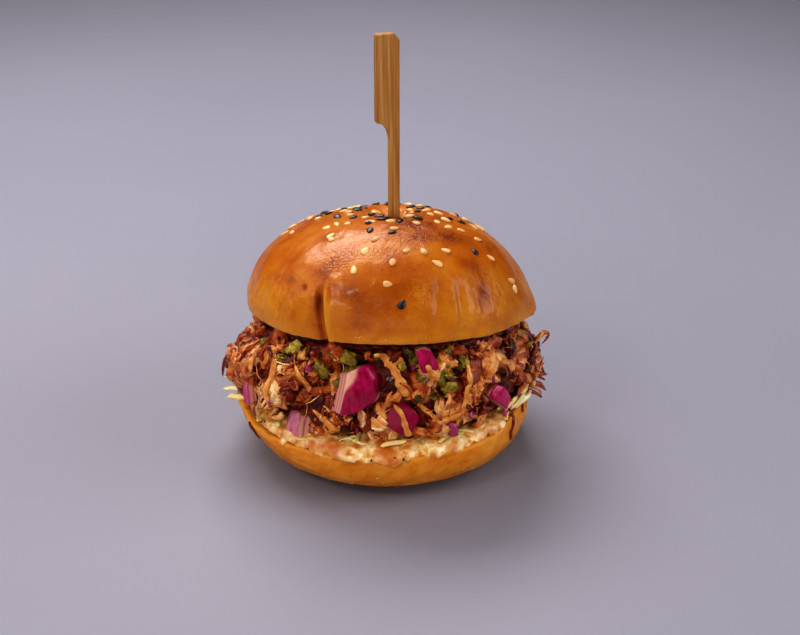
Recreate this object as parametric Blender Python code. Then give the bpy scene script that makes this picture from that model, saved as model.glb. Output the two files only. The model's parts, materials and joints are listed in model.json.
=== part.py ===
"""Pulled pork sandwich: a seeded brioche bun filled with creamy slaw, a heap of pulled pork,
red onion and pickle relish, held together by a bamboo paddle pick.

Blender 4.5, metres, +Z up. The origin is the centre of the flat base that the bun rests on.
-Y is the front, where the crown is tipped back and the filling shows most.
Azimuths are in degrees, measured from the front (-Y) towards +X.
"""

import math

import bmesh
import bpy
from mathutils import Euler, Matrix, Vector, noise

MM = 0.001
GAP = 0.3 * MM  # clearance between pieces that touch
SEGMENTS = 72  # points round each turned piece

# Bottom half of the bun
HEEL_RADIUS = 50.7 * MM
HEEL_HEIGHT = 15.0 * MM
HEEL_BASE_RADIUS = 33.0 * MM
HEEL_LEAN = -2.5 * MM  # how far its rim's centre lies to the left of its base's
HEEL_LUMP = 0.9 * MM
HEEL_FLAT_SIDE = (-70, 30, -3.0)  # azimuth, width, and mm pushed in on the left

# Creamy slaw on the heel
SLAW_TOP = 21.5 * MM
SLAW_RADIUS = 48.0 * MM
SLAW_CROWN_RADIUS = 40.0 * MM  # where its slope meets the flat under the pork
SLAW_LOBE = 1.5 * MM

# Top half of the bun, tipped back about X so that the front gapes
CROWN_RADIUS = 48.0 * MM
CROWN_RIM_RADIUS = 46.3 * MM
CROWN_HEIGHT = 35.0 * MM
CROWN_TUCK = 3.5 * MM  # height of the widest line above the cut face
CROWN_ROUNDNESS = 2.2  # exponent of the dome's superellipse
CROWN_CENTRE_X = 1.2 * MM
RIM_HEIGHT = 46.0 * MM  # the cut face's height over the origin
CROWN_TILT = math.radians(12.9)
CROWN_LUMP = 1.1 * MM
CROWN_LUMP_SIZE = 16.0 * MM

# Dents (-) and ridges (+) in the crown's crust: azimuth, width in degrees, mm out from the dome
RIM_FOLDS = (
    (-28.5, 2.6, -1.9),  # the sharp fold at the front left, and the ridge beside it
    (-23.5, 2.6, 1.1),
    (23, 5, 0.6),  # the soft crease at the front right, between two low ridges
    (30, 5, -1.3),
    (37, 5, 0.7),
    (152, 5, -1.4),
    (-120, 6, -1.0),
)
BELT_DENTS = ((0, 22, -1.2), (-50, 12, -0.8))
RIGHT_SLUMP = (85, 42, -3.6)  # the right shoulder falls away more steeply
LEFT_SHOULDER = (-60, 60, 1.4)
RIGHT_CORNER = (88, 14, 0.9)  # the rim's corner on the right stands out

# Relish under the crown and the pork under the relish
RELISH_THICKNESS = 3.6 * MM
RELISH_RADIUS = 41.5 * MM
RELISH_BULGE = (0, 42, 3.2)  # azimuth, width, and mm further out at the front
RELISH_LUMP = 1.2 * MM
PORK_FOOT_RADIUS = 42.5 * MM
PORK_RADIUS = 47.5 * MM
PORK_BULGES = ((-78, 30, 6.5), (82, 28, 3.8), (180, 60, -1.5))  # azimuth, width, mm out
PORK_LUMP = 2.2 * MM
PORK_LUMP_SIZE = 9.0 * MM

# Bamboo paddle pick
PICK_LENGTH = 120.0 * MM
PICK_TOP = 141.5 * MM
PICK_THICKNESS = 2.6 * MM
STEM_WIDTH = 3.3 * MM
PADDLE_WIDTH = 7.8 * MM
PADDLE_LENGTH = 28.5 * MM
PADDLE_NOTCH = 6.8 * MM  # height of the quarter-round between paddle and stem
PICK_POINT = 7.0 * MM
PICK_CENTRE_X = 2.2 * MM
PICK_TURN = math.radians(19.0)

# Red onion pieces: name, width, height, depth, azimuth, radius, height over the origin in mm, then
# yaw, pitch and roll in degrees from facing straight out
ONION_PIECES = (
    ("onion_front", 17.5, 13.5, 9.0, -5.5, 47.8, 42.8, 38, -6, -8),
    ("onion_front_low", 11.0, 9.5, 5.0, 6, 47.2, 30.0, -4, -16, 8),
    ("onion_top_right", 6.5, 10.5, 4.0, 16, 47.0, 49.5, 10, 4, -16),
    ("onion_left_low", 11.0, 10.5, 6.0, -41, 48.0, 22.8, -28, -14, -14),
    ("onion_right", 13.0, 5.5, 4.0, 51, 49.4, 31.0, 4, -4, 38),
    ("onion_left", 3.6, 8.5, 3.5, -60, 53.8, 28.8, 6, -4, -6),
)
ONION_SKIN_RADIUS = 24.0 * MM  # curvature of the onion that the pieces were cut from

CRUST = ("crust", (0.50, 0.23, 0.07), 0.38)
CREAM = ("cream", (0.80, 0.72, 0.52), 0.40)
MEAT = ("meat", (0.36, 0.17, 0.08), 0.45)
RELISH = ("relish", (0.16, 0.08, 0.03), 0.30)
ONION = ("onion", (0.36, 0.04, 0.17), 0.30)
BAMBOO = ("bamboo", (0.62, 0.40, 0.17), 0.55)


def clear_scene():
    for old in list(bpy.data.objects):
        bpy.data.objects.remove(old, do_unlink=True)


def material(name, colour, roughness):
    """The Principled material of that name, made on first use."""
    made = bpy.data.materials.get(name)
    if made is None:
        made = bpy.data.materials.new(name)
        made.use_nodes = True
        shader = made.node_tree.nodes["Principled BSDF"]
        shader.inputs["Base Color"].default_value = (*colour, 1.0)
        shader.inputs["Roughness"].default_value = roughness
        shader.inputs["Metallic"].default_value = 0.0
    return made


def add_object(name, mesh, finish=None):
    made = bpy.data.objects.new(name, mesh)
    bpy.context.scene.collection.objects.link(made)
    if finish:
        mesh.materials.append(material(*finish))
        mesh.shade_smooth()
        mesh.set_sharp_from_angle(angle=math.radians(45))
    return made


def mesh_from_rings(name, rings):
    """A closed mesh through rings of equal length, bottom to top. A ring of one point is a pole,
    and any other end is closed with one flat face."""
    bm = bmesh.new()
    loops = [[bm.verts.new(point) for point in ring] for ring in rings]
    for low, high in zip(loops, loops[1:]):
        count = max(len(low), len(high))
        for i in range(count):
            j = (i + 1) % count
            if len(low) == 1:
                bm.faces.new((low[0], high[j], high[i]))
            elif len(high) == 1:
                bm.faces.new((low[i], low[j], high[0]))
            else:
                bm.faces.new((low[i], low[j], high[j], high[i]))
    for end in (loops[0], loops[-1]):
        if len(end) > 1:
            bm.faces.new(end)
    bmesh.ops.recalc_face_normals(bm, faces=bm.faces[:])
    mesh = bpy.data.meshes.new(name)
    bm.to_mesh(mesh)
    bm.free()
    return mesh


def polar(azimuth, radius, height, centre_x=0.0):
    return Vector((centre_x + radius * math.sin(azimuth), -radius * math.cos(azimuth), height))


def azimuths():
    return [2 * math.pi * i / SEGMENTS for i in range(SEGMENTS)]


def bump(azimuth, centre_deg, width_deg):
    """1 at centre_deg, falling smoothly to nothing about twice width_deg away."""
    off = math.remainder(azimuth - math.radians(centre_deg), 2 * math.pi)
    return math.exp(-((off / math.radians(width_deg)) ** 2))


def swell(azimuth, place):
    """The bump given by place: its azimuth and width in degrees, and how far out it goes in mm."""
    centre_deg, width_deg, out_mm = place
    return out_mm * MM * bump(azimuth, centre_deg, width_deg)


def ease(value):
    """Smooth step from 0 to 1."""
    value = min(max(value, 0.0), 1.0)
    return value * value * (3 - 2 * value)


def wobble(point, size, amount):
    return amount * noise.noise(point / size)


def tilted_height(y, drop=0.0):
    """World height, at that y, of the plane that lies drop under the crown's cut face."""
    return RIM_HEIGHT - y * math.tan(CROWN_TILT) - drop / math.cos(CROWN_TILT)


def cut(target, cutter):
    """Takes cutter out of target with a Boolean, and hides it."""
    cutter.hide_render = True
    cutter.display_type = "WIRE"
    boolean = target.modifiers.new("cut_" + cutter.name, "BOOLEAN")
    boolean.operation = "DIFFERENCE"
    boolean.solver = "EXACT"
    boolean.object = cutter


def heel():
    """The bun's bottom half: a shallow bowl with a flat base and a flat cut face."""
    profile = []
    steps = 7
    for i in range(steps + 1):
        turn = math.pi / 2 * i / steps
        out = (HEEL_RADIUS - HEEL_BASE_RADIUS) * math.sin(turn)
        profile.append((HEEL_BASE_RADIUS + out, 0.9 * HEEL_HEIGHT * (1 - math.cos(turn)) ** 0.8))
    profile.append((HEEL_RADIUS - 0.5 * MM, HEEL_HEIGHT))
    rings = []
    for radius, height in profile:
        ring = []
        for azimuth in azimuths():
            climb = height / HEEL_HEIGHT
            lump = wobble(polar(azimuth, 1.0, 0.0), 0.7, HEEL_LUMP) * climb
            lump += swell(azimuth, HEEL_FLAT_SIDE) * math.sin(math.pi * climb**1.4)
            lean = HEEL_LEAN * climb**2
            ring.append(polar(azimuth, radius + lump, height, lean))
        rings.append(ring)
    return add_object("bun_heel", mesh_from_rings("bun_heel", rings), CRUST)


def slaw():
    """The creamy slaw: flat under the pork, sloping to a lobed edge on the heel."""
    base = HEEL_HEIGHT + GAP
    profile = ((1.0, 0.0), (1.0, 0.28), (0.72, 0.7), (0.3, 0.94), (0.0, 1.0))
    rings = []
    for spread, rise in profile:
        ring = []
        for azimuth in azimuths():
            around = polar(azimuth, 1.0, rise)
            edge = SLAW_RADIUS + wobble(around, 0.22, SLAW_LOBE) + wobble(around, 0.9, MM)
            radius = SLAW_CROWN_RADIUS + (edge - SLAW_CROWN_RADIUS) * spread
            ring.append(polar(azimuth, radius, base + rise * (SLAW_TOP - base), HEEL_LEAN))
        rings.append(ring)
    return add_object("slaw", mesh_from_rings("slaw", rings), CREAM)


def crown_dent(azimuth, climb):
    """How far the crust stands out from the plain dome, where climb runs from 0 at the rim to 1 at
    the top."""
    dent = ease(1 - climb / 0.42) * sum(swell(azimuth, fold) for fold in RIM_FOLDS)
    dent += ease(1 - abs(climb - 0.22) / 0.16) * sum(swell(azimuth, fold) for fold in BELT_DENTS)
    dent += swell(azimuth, RIGHT_SLUMP) * math.sin(math.pi * climb) ** 1.5
    dent += swell(azimuth, LEFT_SHOULDER) * math.sin(math.pi * climb**2)
    dent += swell(azimuth, RIGHT_CORNER) * ease(1 - climb / 0.2)
    return dent


def crown():
    """The bun's top half: a domed crust over a flat cut face, tucked in below its widest line."""
    domed = 14
    profile = [(CROWN_RIM_RADIUS, 0.0, 0.0)]
    profile.append((CROWN_RADIUS - 0.5 * MM, 0.45 * CROWN_TUCK, 0.04))
    for i in range(domed):
        turn = math.pi / 2 * i / domed
        radius = CROWN_RADIUS * math.cos(turn) ** (2 / CROWN_ROUNDNESS)
        height = (CROWN_HEIGHT - CROWN_TUCK) * math.sin(turn) ** (2 / CROWN_ROUNDNESS)
        profile.append((radius, CROWN_TUCK + height, 0.1 + 0.9 * i / domed))
    rings = []
    for radius, height, climb in profile:
        ring = []
        for azimuth in azimuths():
            spot = polar(azimuth, radius, height)
            lump = wobble(spot, CROWN_LUMP_SIZE, CROWN_LUMP) * (1 - climb)
            lump += crown_dent(azimuth, climb)
            ring.append(polar(azimuth, radius + lump, height))
        rings.append(ring)
    rings.append([Vector((0, 0, CROWN_HEIGHT))])
    return add_object("bun_crown", mesh_from_rings("bun_crown", rings), CRUST)


def relish():
    """The relish under the crown: a thin layer whose edge shows at the front and is set back behind."""
    rings = []
    for spread, depth in ((0.95, 1.0), (1.0, 0.6), (0.985, 0.0)):
        ring = []
        for azimuth in azimuths():
            edge = RELISH_RADIUS + swell(azimuth, RELISH_BULGE)
            edge += wobble(polar(azimuth, 1.0, depth), 0.2, RELISH_LUMP)
            ring.append(polar(azimuth, edge * spread, -GAP - depth * RELISH_THICKNESS))
        rings.append(ring)
    return add_object("relish", mesh_from_rings("relish", rings), RELISH)


def pork_edge(azimuth, rise):
    """The heap's radius: pulled in at its foot and under the crown, bulging most on the left."""
    belly = math.sin(math.pi * min(max(rise * 0.9 + 0.12, 0.0), 1.0)) ** 0.6
    full = PORK_RADIUS + sum(swell(azimuth, bulge) for bulge in PORK_BULGES)
    return PORK_FOOT_RADIUS + (full - PORK_FOOT_RADIUS) * belly


def pork():
    """The pulled pork: one heap between slaw and relish, out to its lumpy outline."""
    foot = SLAW_TOP + GAP
    drop = RELISH_THICKNESS + 2 * GAP
    levels = 9
    rings = []
    for level in range(levels + 1):
        rise = level / levels
        ring = []
        for azimuth in azimuths():
            radius = pork_edge(azimuth, rise)
            radius += wobble(polar(azimuth, radius, rise * 30 * MM), PORK_LUMP_SIZE, PORK_LUMP)
            spot = polar(azimuth, radius, 0.0)
            spot.z = foot + rise * (tilted_height(spot.y, drop) - foot)
            ring.append(spot)
        rings.append(ring)
    return add_object("pulled_pork", mesh_from_rings("pulled_pork", rings), MEAT)


def onion_mesh(name, width, height, depth, grow=0.0):
    """A diced piece of red onion, its curved skin facing -Y: a block cut from a sphere, narrower at
    one end, with slightly slanted knife cuts. grow pushes every face out by that much."""
    across, up = 6, 5
    skin_radius = ONION_SKIN_RADIUS + grow
    core_radius = ONION_SKIN_RADIUS - depth - grow
    bm = bmesh.new()
    sheets = []
    for radius, shrink in ((skin_radius, 1.0), (core_radius, 0.86)):
        sheet = []
        for row in range(up + 1):
            v = 2 * row / up - 1
            for column in range(across + 1):
                u = 2 * column / across - 1
                x = (width * (1 - 0.16 * v) * shrink + 2 * grow) / 2 * u
                z = (height * (1 - 0.10 * u) * shrink + 2 * grow) / 2 * v
                y = -math.sqrt(max(radius**2 - x**2 - z**2, 0.0))
                sheet.append(bm.verts.new((x, y + ONION_SKIN_RADIUS, z)))
        sheets.append(sheet)
    row_length = across + 1
    for sheet in sheets:
        for row in range(up):
            for column in range(across):
                i = row * row_length + column
                bm.faces.new((sheet[i], sheet[i + 1], sheet[i + 1 + row_length], sheet[i + row_length]))
    skin, core = sheets
    border = [column for column in range(across)]
    border += [row * row_length + across for row in range(up)]
    border += [up * row_length + column for column in range(across, 0, -1)]
    border += [row * row_length for row in range(up, 0, -1)]
    for i, j in zip(border, border[1:] + border[:1]):
        bm.faces.new((skin[i], skin[j], core[j], core[i]))
    bmesh.ops.recalc_face_normals(bm, faces=bm.faces[:])
    mesh = bpy.data.meshes.new(name)
    bm.to_mesh(mesh)
    bm.free()
    return mesh


def onion(name, width, height, depth, azimuth, radius, level, yaw, pitch, roll):
    """One onion piece set in the filling, and the cutter that clears its seat."""
    sizes = (width * MM, height * MM, depth * MM)
    piece = add_object(name, onion_mesh(name, *sizes), ONION)
    seat = add_object(name + "_seat", onion_mesh(name + "_seat", *sizes, grow=GAP))
    turn = math.radians(azimuth)
    facing = Matrix.Rotation(turn, 4, "Z")
    facing @= Euler([math.radians(a) for a in (pitch, roll, yaw)], "YXZ").to_matrix().to_4x4()
    for made in (piece, seat):
        made.matrix_world = Matrix.Translation(polar(turn, radius * MM, level * MM)) @ facing
    return seat


def pick_outline():
    """The pick's outline in its own X and Z: a point, a narrow stem and a paddle to the left."""
    tip = PICK_TOP - PICK_LENGTH
    right = STEM_WIDTH / 2
    left = right - PADDLE_WIDTH
    paddle_foot = PICK_TOP - PADDLE_LENGTH
    corner = (1.8 * MM, 2.2 * MM)
    outline = [(-0.3 * MM, tip), (0.3 * MM, tip), (right, tip + PICK_POINT)]
    outline += [(right, PICK_TOP - corner[1]), (right - corner[0], PICK_TOP)]
    outline += [(left + 0.4 * MM, PICK_TOP), (left, PICK_TOP - 0.4 * MM)]
    steps = 8
    for i in range(steps + 1):
        turn = math.pi / 2 * (1 - i / steps)
        x = left + (-right - left) * math.cos(turn)
        outline.append((x, paddle_foot - PADDLE_NOTCH * (1 - math.sin(turn))))
    outline.append((-right, tip + PICK_POINT))
    return outline


def plate(name, outline, thickness):
    """A flat outline in X and Z, made into a plate of that thickness centred on Y = 0."""
    bm = bmesh.new()
    face = bm.faces.new([bm.verts.new((x, -thickness / 2, z)) for x, z in outline])
    far = bmesh.ops.extrude_face_region(bm, geom=[face])["geom"]
    moved = [part for part in far if isinstance(part, bmesh.types.BMVert)]
    bmesh.ops.translate(bm, verts=moved, vec=(0, thickness, 0))
    bmesh.ops.recalc_face_normals(bm, faces=bm.faces[:])
    mesh = bpy.data.meshes.new(name)
    bm.to_mesh(mesh)
    bm.free()
    return mesh


def pick():
    """The bamboo pick, and the cutter for the slot that it makes in what it passes through."""
    made = add_object("pick", plate("pick", pick_outline(), PICK_THICKNESS), BAMBOO)
    bevel = made.modifiers.new("worn_edges", "BEVEL")
    bevel.width = 0.2 * MM
    bevel.segments = 1
    half = STEM_WIDTH / 2 + GAP
    low, high = PICK_TOP - PICK_LENGTH - GAP, PICK_TOP - PADDLE_LENGTH - PADDLE_NOTCH
    outline = [(-half, low), (half, low), (half, high), (-half, high)]
    slot = add_object("pick_slot", plate("pick_slot", outline, PICK_THICKNESS + 2 * GAP))
    for piece in (made, slot):
        piece.location = (PICK_CENTRE_X, 0, 0)
        piece.rotation_euler = (0, 0, PICK_TURN)
    return slot


def build():
    clear_scene()
    heel()
    slaw_layer = slaw()
    heap = pork()
    lid_frame = bpy.data.objects.new("lid_frame", None)
    bpy.context.scene.collection.objects.link(lid_frame)
    lid_frame.location = (CROWN_CENTRE_X, 0, RIM_HEIGHT)
    lid_frame.rotation_euler = (-CROWN_TILT, 0, 0)
    lid, spread = crown(), relish()
    lid.parent = lid_frame
    spread.parent = lid_frame
    slot = pick()
    for piece in (lid, spread, heap):
        cut(piece, slot)
    for row in ONION_PIECES:
        seat = onion(*row)
        for piece in (heap, slaw_layer, spread):
            cut(piece, seat)


build()
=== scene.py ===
"""Looks of the pulled pork sandwich: crust, slaw, pork strands, relish, onion, sauces, seeds, bamboo.

Metres, +Z up, the front is -Y. Azimuths run from the front (-Y) towards +X, in degrees in the
tables and in radians in the functions. Sizes in the tables are in millimetres.
"""

import json
import math

import bmesh
import bpy
import numpy as np
from mathutils import Euler, Matrix, Vector, noise
from mathutils.bvhtree import BVHTree

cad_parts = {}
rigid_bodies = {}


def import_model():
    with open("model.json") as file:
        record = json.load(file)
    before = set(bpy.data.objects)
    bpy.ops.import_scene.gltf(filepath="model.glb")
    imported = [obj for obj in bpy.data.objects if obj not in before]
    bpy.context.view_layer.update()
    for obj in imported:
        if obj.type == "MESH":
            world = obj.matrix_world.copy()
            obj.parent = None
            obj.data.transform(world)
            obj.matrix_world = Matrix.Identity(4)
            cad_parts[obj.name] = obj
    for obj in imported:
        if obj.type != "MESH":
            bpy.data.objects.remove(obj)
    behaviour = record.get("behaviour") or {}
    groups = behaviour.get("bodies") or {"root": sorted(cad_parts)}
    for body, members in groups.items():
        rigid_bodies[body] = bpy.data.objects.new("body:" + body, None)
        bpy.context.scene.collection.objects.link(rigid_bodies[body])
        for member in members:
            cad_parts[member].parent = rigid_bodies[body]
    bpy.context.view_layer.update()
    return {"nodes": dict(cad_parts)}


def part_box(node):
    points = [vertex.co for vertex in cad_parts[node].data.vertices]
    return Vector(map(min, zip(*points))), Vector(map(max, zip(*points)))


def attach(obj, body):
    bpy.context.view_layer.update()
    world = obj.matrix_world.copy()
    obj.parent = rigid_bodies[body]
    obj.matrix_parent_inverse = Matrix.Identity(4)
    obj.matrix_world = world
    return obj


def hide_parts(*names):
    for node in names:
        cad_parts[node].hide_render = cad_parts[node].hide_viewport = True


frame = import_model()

MM = 0.001
BODY = "root"

# The crown's own frame: its origin is the middle of the cut face, tipped back about X
CROWN_TILT = math.radians(12.9)
CROWN_ORIGIN = Vector((1.2, 0.0, 46.0)) * MM
CROWN_FRAME = Matrix.Translation(CROWN_ORIGIN) @ Matrix.Rotation(-CROWN_TILT, 4, "X")
HEEL_CENTRE_X = -2.5 * MM  # middle of the heel's rim
FILLING_SHIFT = np.array((HEEL_CENTRE_X, 0, 0))  # of the slaw and cabbage, which lie on the heel
PICK_ENTRY = Vector((2.2, 0.0, 80.0)) * MM
GRAIN_STRETCH = 0.12  # how fast the grain changes along a strand, against across it
OUTSIDE = 100 * MM  # a radius beyond the whole sandwich
HEAP_RADIUS, HEAP_HEIGHT = 47 * MM, 26 * MM  # rough ones, to turn lengths into azimuth and rise
CROWN_COLUMNS, CROWN_ROWS = 560, 150
HEEL_COLUMNS, HEEL_ROWS = 400, 70
ONION_SKIN_RADIUS = 14.0 * MM

# Where the crown's rim rises above its plane, and the heel's above its cut face: mm, then azimuth
# and spread in degrees
CROWN_RISES = ((2.4, -80, 30), (1.9, 80, 30))
HEEL_RISES = ((4.4, 86, 26), (2.6, -84, 26), (1.7, 0, 55), (1.2, 150, 30), (1.0, -140, 30))

# Marks on the crown: azimuth, height over the cut face, spread in degrees and in mm, then how much
# darker, how blistered and how many mm out. Darkening in the dents below 20 mm up is painted shade
# in them; the dark patches high up are the crust's own caramel colour
CROWN_MARKS = (
    (-36.4, 15.1, 1.6, 1.2, 0.35, 0.0, -0.7),
    (-44.3, 16.4, 5.0, 1.6, 0.15, 0.0, -0.35),
    (-53.0, 17.3, 5.0, 1.8, 0.15, 0.0, -0.30),
    (-22.5, 18.6, 3.0, 1.3, -0.25, 0.3, 0.5),
    (-6.0, 13.0, 12.0, 2.4, 0.04, 0.0, -0.20),
    (12.2, 14.6, 5.0, 4.5, -0.26, 1.0, 0.10),
    (31.0, 6.5, 5.0, 4.5, -0.30, 1.0, 0.25),
    (39.0, 12.5, 4.0, 3.0, 0.30, 0.3, -0.50),
    (48.0, 15.3, 4.0, 4.5, -0.20, 1.0, 0.10),
    (-62.0, 7.0, 14.0, 5.0, -0.12, 0.7, 0.0),
    (-27.0, 23.0, 8.0, 3.5, 0.08, 1.1, -0.10),
    (-14.0, 27.0, 16.0, 3.5, -0.03, 0.9, 0.0),
    (12.0, 30.0, 16.0, 3.0, 0.05, 0.9, 0.0),
    (26.0, 33.2, 18.0, 1.6, 0.30, 0.8, -0.15),
    (40.0, 29.5, 9.0, 2.4, 0.22, 0.8, -0.15),
    (22.0, 29.5, 8.0, 1.6, 0.16, 0.6, -0.10),
    (118.0, 10.0, 8.0, 5.0, -0.10, 0.8, 0.0),
    (170.0, 12.0, 10.0, 3.0, 0.25, 0.0, -0.40),
    (-130.0, 9.0, 9.0, 5.0, -0.12, 0.9, 0.0),
    (-165.0, 28.0, 12.0, 3.0, 0.30, 0.4, -0.10),
)

# Wrinkled stretches of the crown: azimuth and its spread, height and its spread, how close the
# wrinkles' turns are upward against round, their size, seed and depth
CROWN_WRINKLES = (
    (-62, 24, 9.0, 9.0, 0.55, 5.0, 3, 0.35),
    (40, 22, 9.0, 8.0, 0.6, 4.5, 4, 0.22),
    (180, 75, 8.0, 9.0, 0.5, 6.0, 5, 0.3),
)

# Blisters on the crown: how many, then the kind of draw and its two numbers for the azimuth and
# the height, and the range of their scale
CROWN_BLISTERS = (
    (150, "uniform", (-180, 180), (2, 26), (0.5, 1.2)),
    (60, "normal", (20, 9), (15, 3), (0.4, 0.9)),
    (50, "normal", (-60, 16), (10, 5), (0.4, 0.9)),
)

# Creases round the heel: depth, waver, its turns and its start, height, width, azimuth and spread
HEEL_CREASES = (
    (0.45, 0.8, 3.1, 0, 4.6, 0.5, 4, 22),
    (0.40, -0.6, 5.0, 0, 7.2, 0.4, 22, 20),
    (0.35, 0.9, 4.0, 1, 3.2, 0.4, -18, 18),
)

# Red onion pieces: name, width, height, depth, azimuth, radius, height over the origin in mm, then
# yaw, pitch and roll in degrees from facing straight out, how pale the skin is and how far the
# top leans across
ONION_PIECES = (
    ("onion_front", 16.0, 12.5, 8.5, -6.5, 47.6, 42.4, 40, -19, -10, 0.02, 0.4),
    ("onion_front_low", 10.5, 9.5, 5.0, 6, 47.2, 30.5, -4, -16, 40, -0.22, 0.0),
    ("onion_top_right", 5.6, 10.0, 4.0, 16, 47.0, 49.5, 2, 4, -20, 0.05, 0.0),
    ("onion_left_low", 11.0, 10.5, 6.0, -41, 48.0, 22.8, -28, -14, -14, 0.65, 0.15),
    ("onion_right", 13.0, 5.5, 4.0, 51, 49.2, 29.5, 4, -4, 44, 0.12, 0.0),
    ("onion_left", 3.6, 8.5, 3.5, -60, 53.6, 28.8, 6, -4, -6, 0.4, 0.0),
)

# Small bits of red onion: azimuth, height and size
ONION_BITS = (
    (26, 24.5, 4.6), (58, 20.5, 3.2), (-13, 23, 2.6), (-47, 31, 2.4), (11, 46, 2.2), (36, 27, 2.4),
    (-31, 45, 2.8), (45, 38, 2.2), (95, 34, 3.4), (128, 28, 3.8), (160, 33, 3.0), (-170, 26, 4.0),
    (-140, 33, 3.2), (-112, 28, 3.6), (-95, 35, 2.6),
)

# Torn pork over the heap, from large to fine. Pairs are (low, high) ranges: length, width, how far
# out and how far the ends curl up, and tone. flat is height over width, ridged the depth of the
# grooves and frayed the unevenness of the ends in mm
PORK_SHREDS = (
    dict(name="pork_chunks", count=260, seed=61, length=(6, 13), width=(4.0, 7.5), flat=0.6,
         out=(-2.8, -1.1), curl=(-2.2, -0.2), sides=18, steps=14, tones=(0.25, 0.85), ridged=0.12,
          frayed=1.4),
    dict(name="pork_strips", count=400, seed=64, length=(5, 15), width=(1.8, 4.0), flat=0.6,
         out=(-1.9, -0.3), curl=(-2.2, 0.0), sides=12, steps=14, tones=(0.1, 0.9), ridged=0.13, frayed=1.3),
    dict(name="pork_shreds", count=280, seed=62, length=(4, 11), width=(0.8, 1.6), flat=0.75,
         out=(-1.3, 0.2), curl=(-2.0, 0.4), sides=8, steps=12, tones=(0.1, 0.9), ridged=0.12, frayed=0.7),
    dict(name="pork_fibres", count=600, seed=63, length=(2, 7), width=(0.22, 0.45), flat=0.9,
         out=(-0.9, 0.4), curl=(-1.4, 0.9), sides=5, steps=9, tones=(0.35, 1.0), ridged=0.08, frayed=0.2),
)

# Strands that stand out of the heap: (azimuth, height, radius) knots, then width and tone
STRAY_PORK = (
    (((-84, 33, 47), (-87, 32, 53), (-89, 27, 56), (-89, 21.5, 56.4)), 2.2, 0.35),
    (((-80, 30, 48), (-84, 28, 53), (-86, 24, 55)), 1.2, 0.3),
    (((-74, 36, 49), (-79, 38, 53), (-83, 36, 54.5)), 1.3, 0.5),
    (((84, 31, 46), (86, 37, 50), (88, 39, 53), (90, 36.5, 54.4), (89, 34, 52)), 1.5, 0.6),
    (((79, 35, 47), (81, 39, 50.5), (84, 40, 52.6), (87, 37.5, 52)), 1.2, 0.75),
    (((80, 26, 47), (84, 25, 51), (87, 23.5, 54.6)), 1.7, 0.5),
    (((79, 25, 47), (83, 24.5, 51), (86, 21.5, 54.0)), 1.4, 0.3),
    (((78, 24, 47), (82, 22, 51.6), (84, 18.8, 54.2)), 1.9, 0.45),
    (((77, 23, 47), (80, 21.5, 51.2), (81, 19.0, 53.2)), 1.3, 0.7),
    (((82, 30, 47), (86, 27, 51.6), (88, 23.0, 54.0)), 1.4, 0.4),
    (((81, 25, 47), (85, 26.5, 51.4), (89, 29.5, 53.4)), 1.1, 0.7),
    (((76, 22, 47), (79, 19.8, 51.4), (81, 17.4, 53.2)), 1.4, 0.35),
    (((74, 30, 48), (79, 29, 51.5), (83, 30, 53.5)), 1.3, 0.7),
    (((150, 30, 44), (154, 31, 48), (158, 28, 50.5)), 1.4, 0.5),
    (((-140, 28, 45), (-143, 27, 49.5), (-146, 22, 51.5)), 1.6, 0.4),
    (((115, 32, 45), (118, 34, 49), (121, 31, 51)), 1.4, 0.6),
    (((-64, 27, 48), (-62, 23, 50), (-60, 19.8, 50.4)), 3.0, 0.75),
    (((-58, 27, 48), (-57, 23, 49.8), (-54, 20, 50.2)), 3.4, 0.85),
    (((-53, 26, 48), (-54, 22.5, 49.8), (-57, 20.2, 50.2)), 2.6, 0.55),
    (((-48, 27, 48), (-50, 24, 49.4), (-52, 21.5, 49.8)), 2.4, 0.7),
    (((-66, 24, 48), (-61, 21.8, 50.2), (-56, 21.2, 50.4)), 2.4, 0.45),
    (((-44, 26, 48), (-46, 24, 49.0), (-50, 23, 49.4)), 2.0, 0.9),
)

# White shreds that stick out of the slaw, in the same form
STRAY_SLAW = (
    (((-78, 21, 47), (-82, 20.5, 52), (-85, 19, 56.4)), 1.7, 0.4),
    (((-74, 20, 48), (-79, 18.6, 52.5), (-82, 17, 55.5)), 2.0, 0.55),
    (((-82, 22, 48), (-87, 22.4, 53), (-90, 21, 56)), 1.6, 0.05),
    (((60, 22, 47), (64, 24, 49), (68, 25, 49.4)), 1.5, 0.35),
    (((66, 23, 47), (71, 25.5, 49.2), (74, 28, 49.0)), 1.3, 0.6),
    (((54, 24, 48), (58, 26, 49.0), (61, 26, 49.0)), 1.4, 0.5),
    (((64, 21, 47), (69, 22.5, 49.6), (76, 22, 49.8)), 1.8, 0.1),
)

# Section of the relish layer: share of its radius, depth under the crown's cut face
RELISH_PROFILE = (
    (0.6, 3.9), (0.9, 4.1), (0.96, 3.9), (0.985, 3.4), (0.995, 2.9), (1.0, 2.3),
    (0.997, 1.7), (0.99, 1.2), (0.97, 0.7), (0.95, 0.4), (0.6, 0.3),
)

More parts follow.
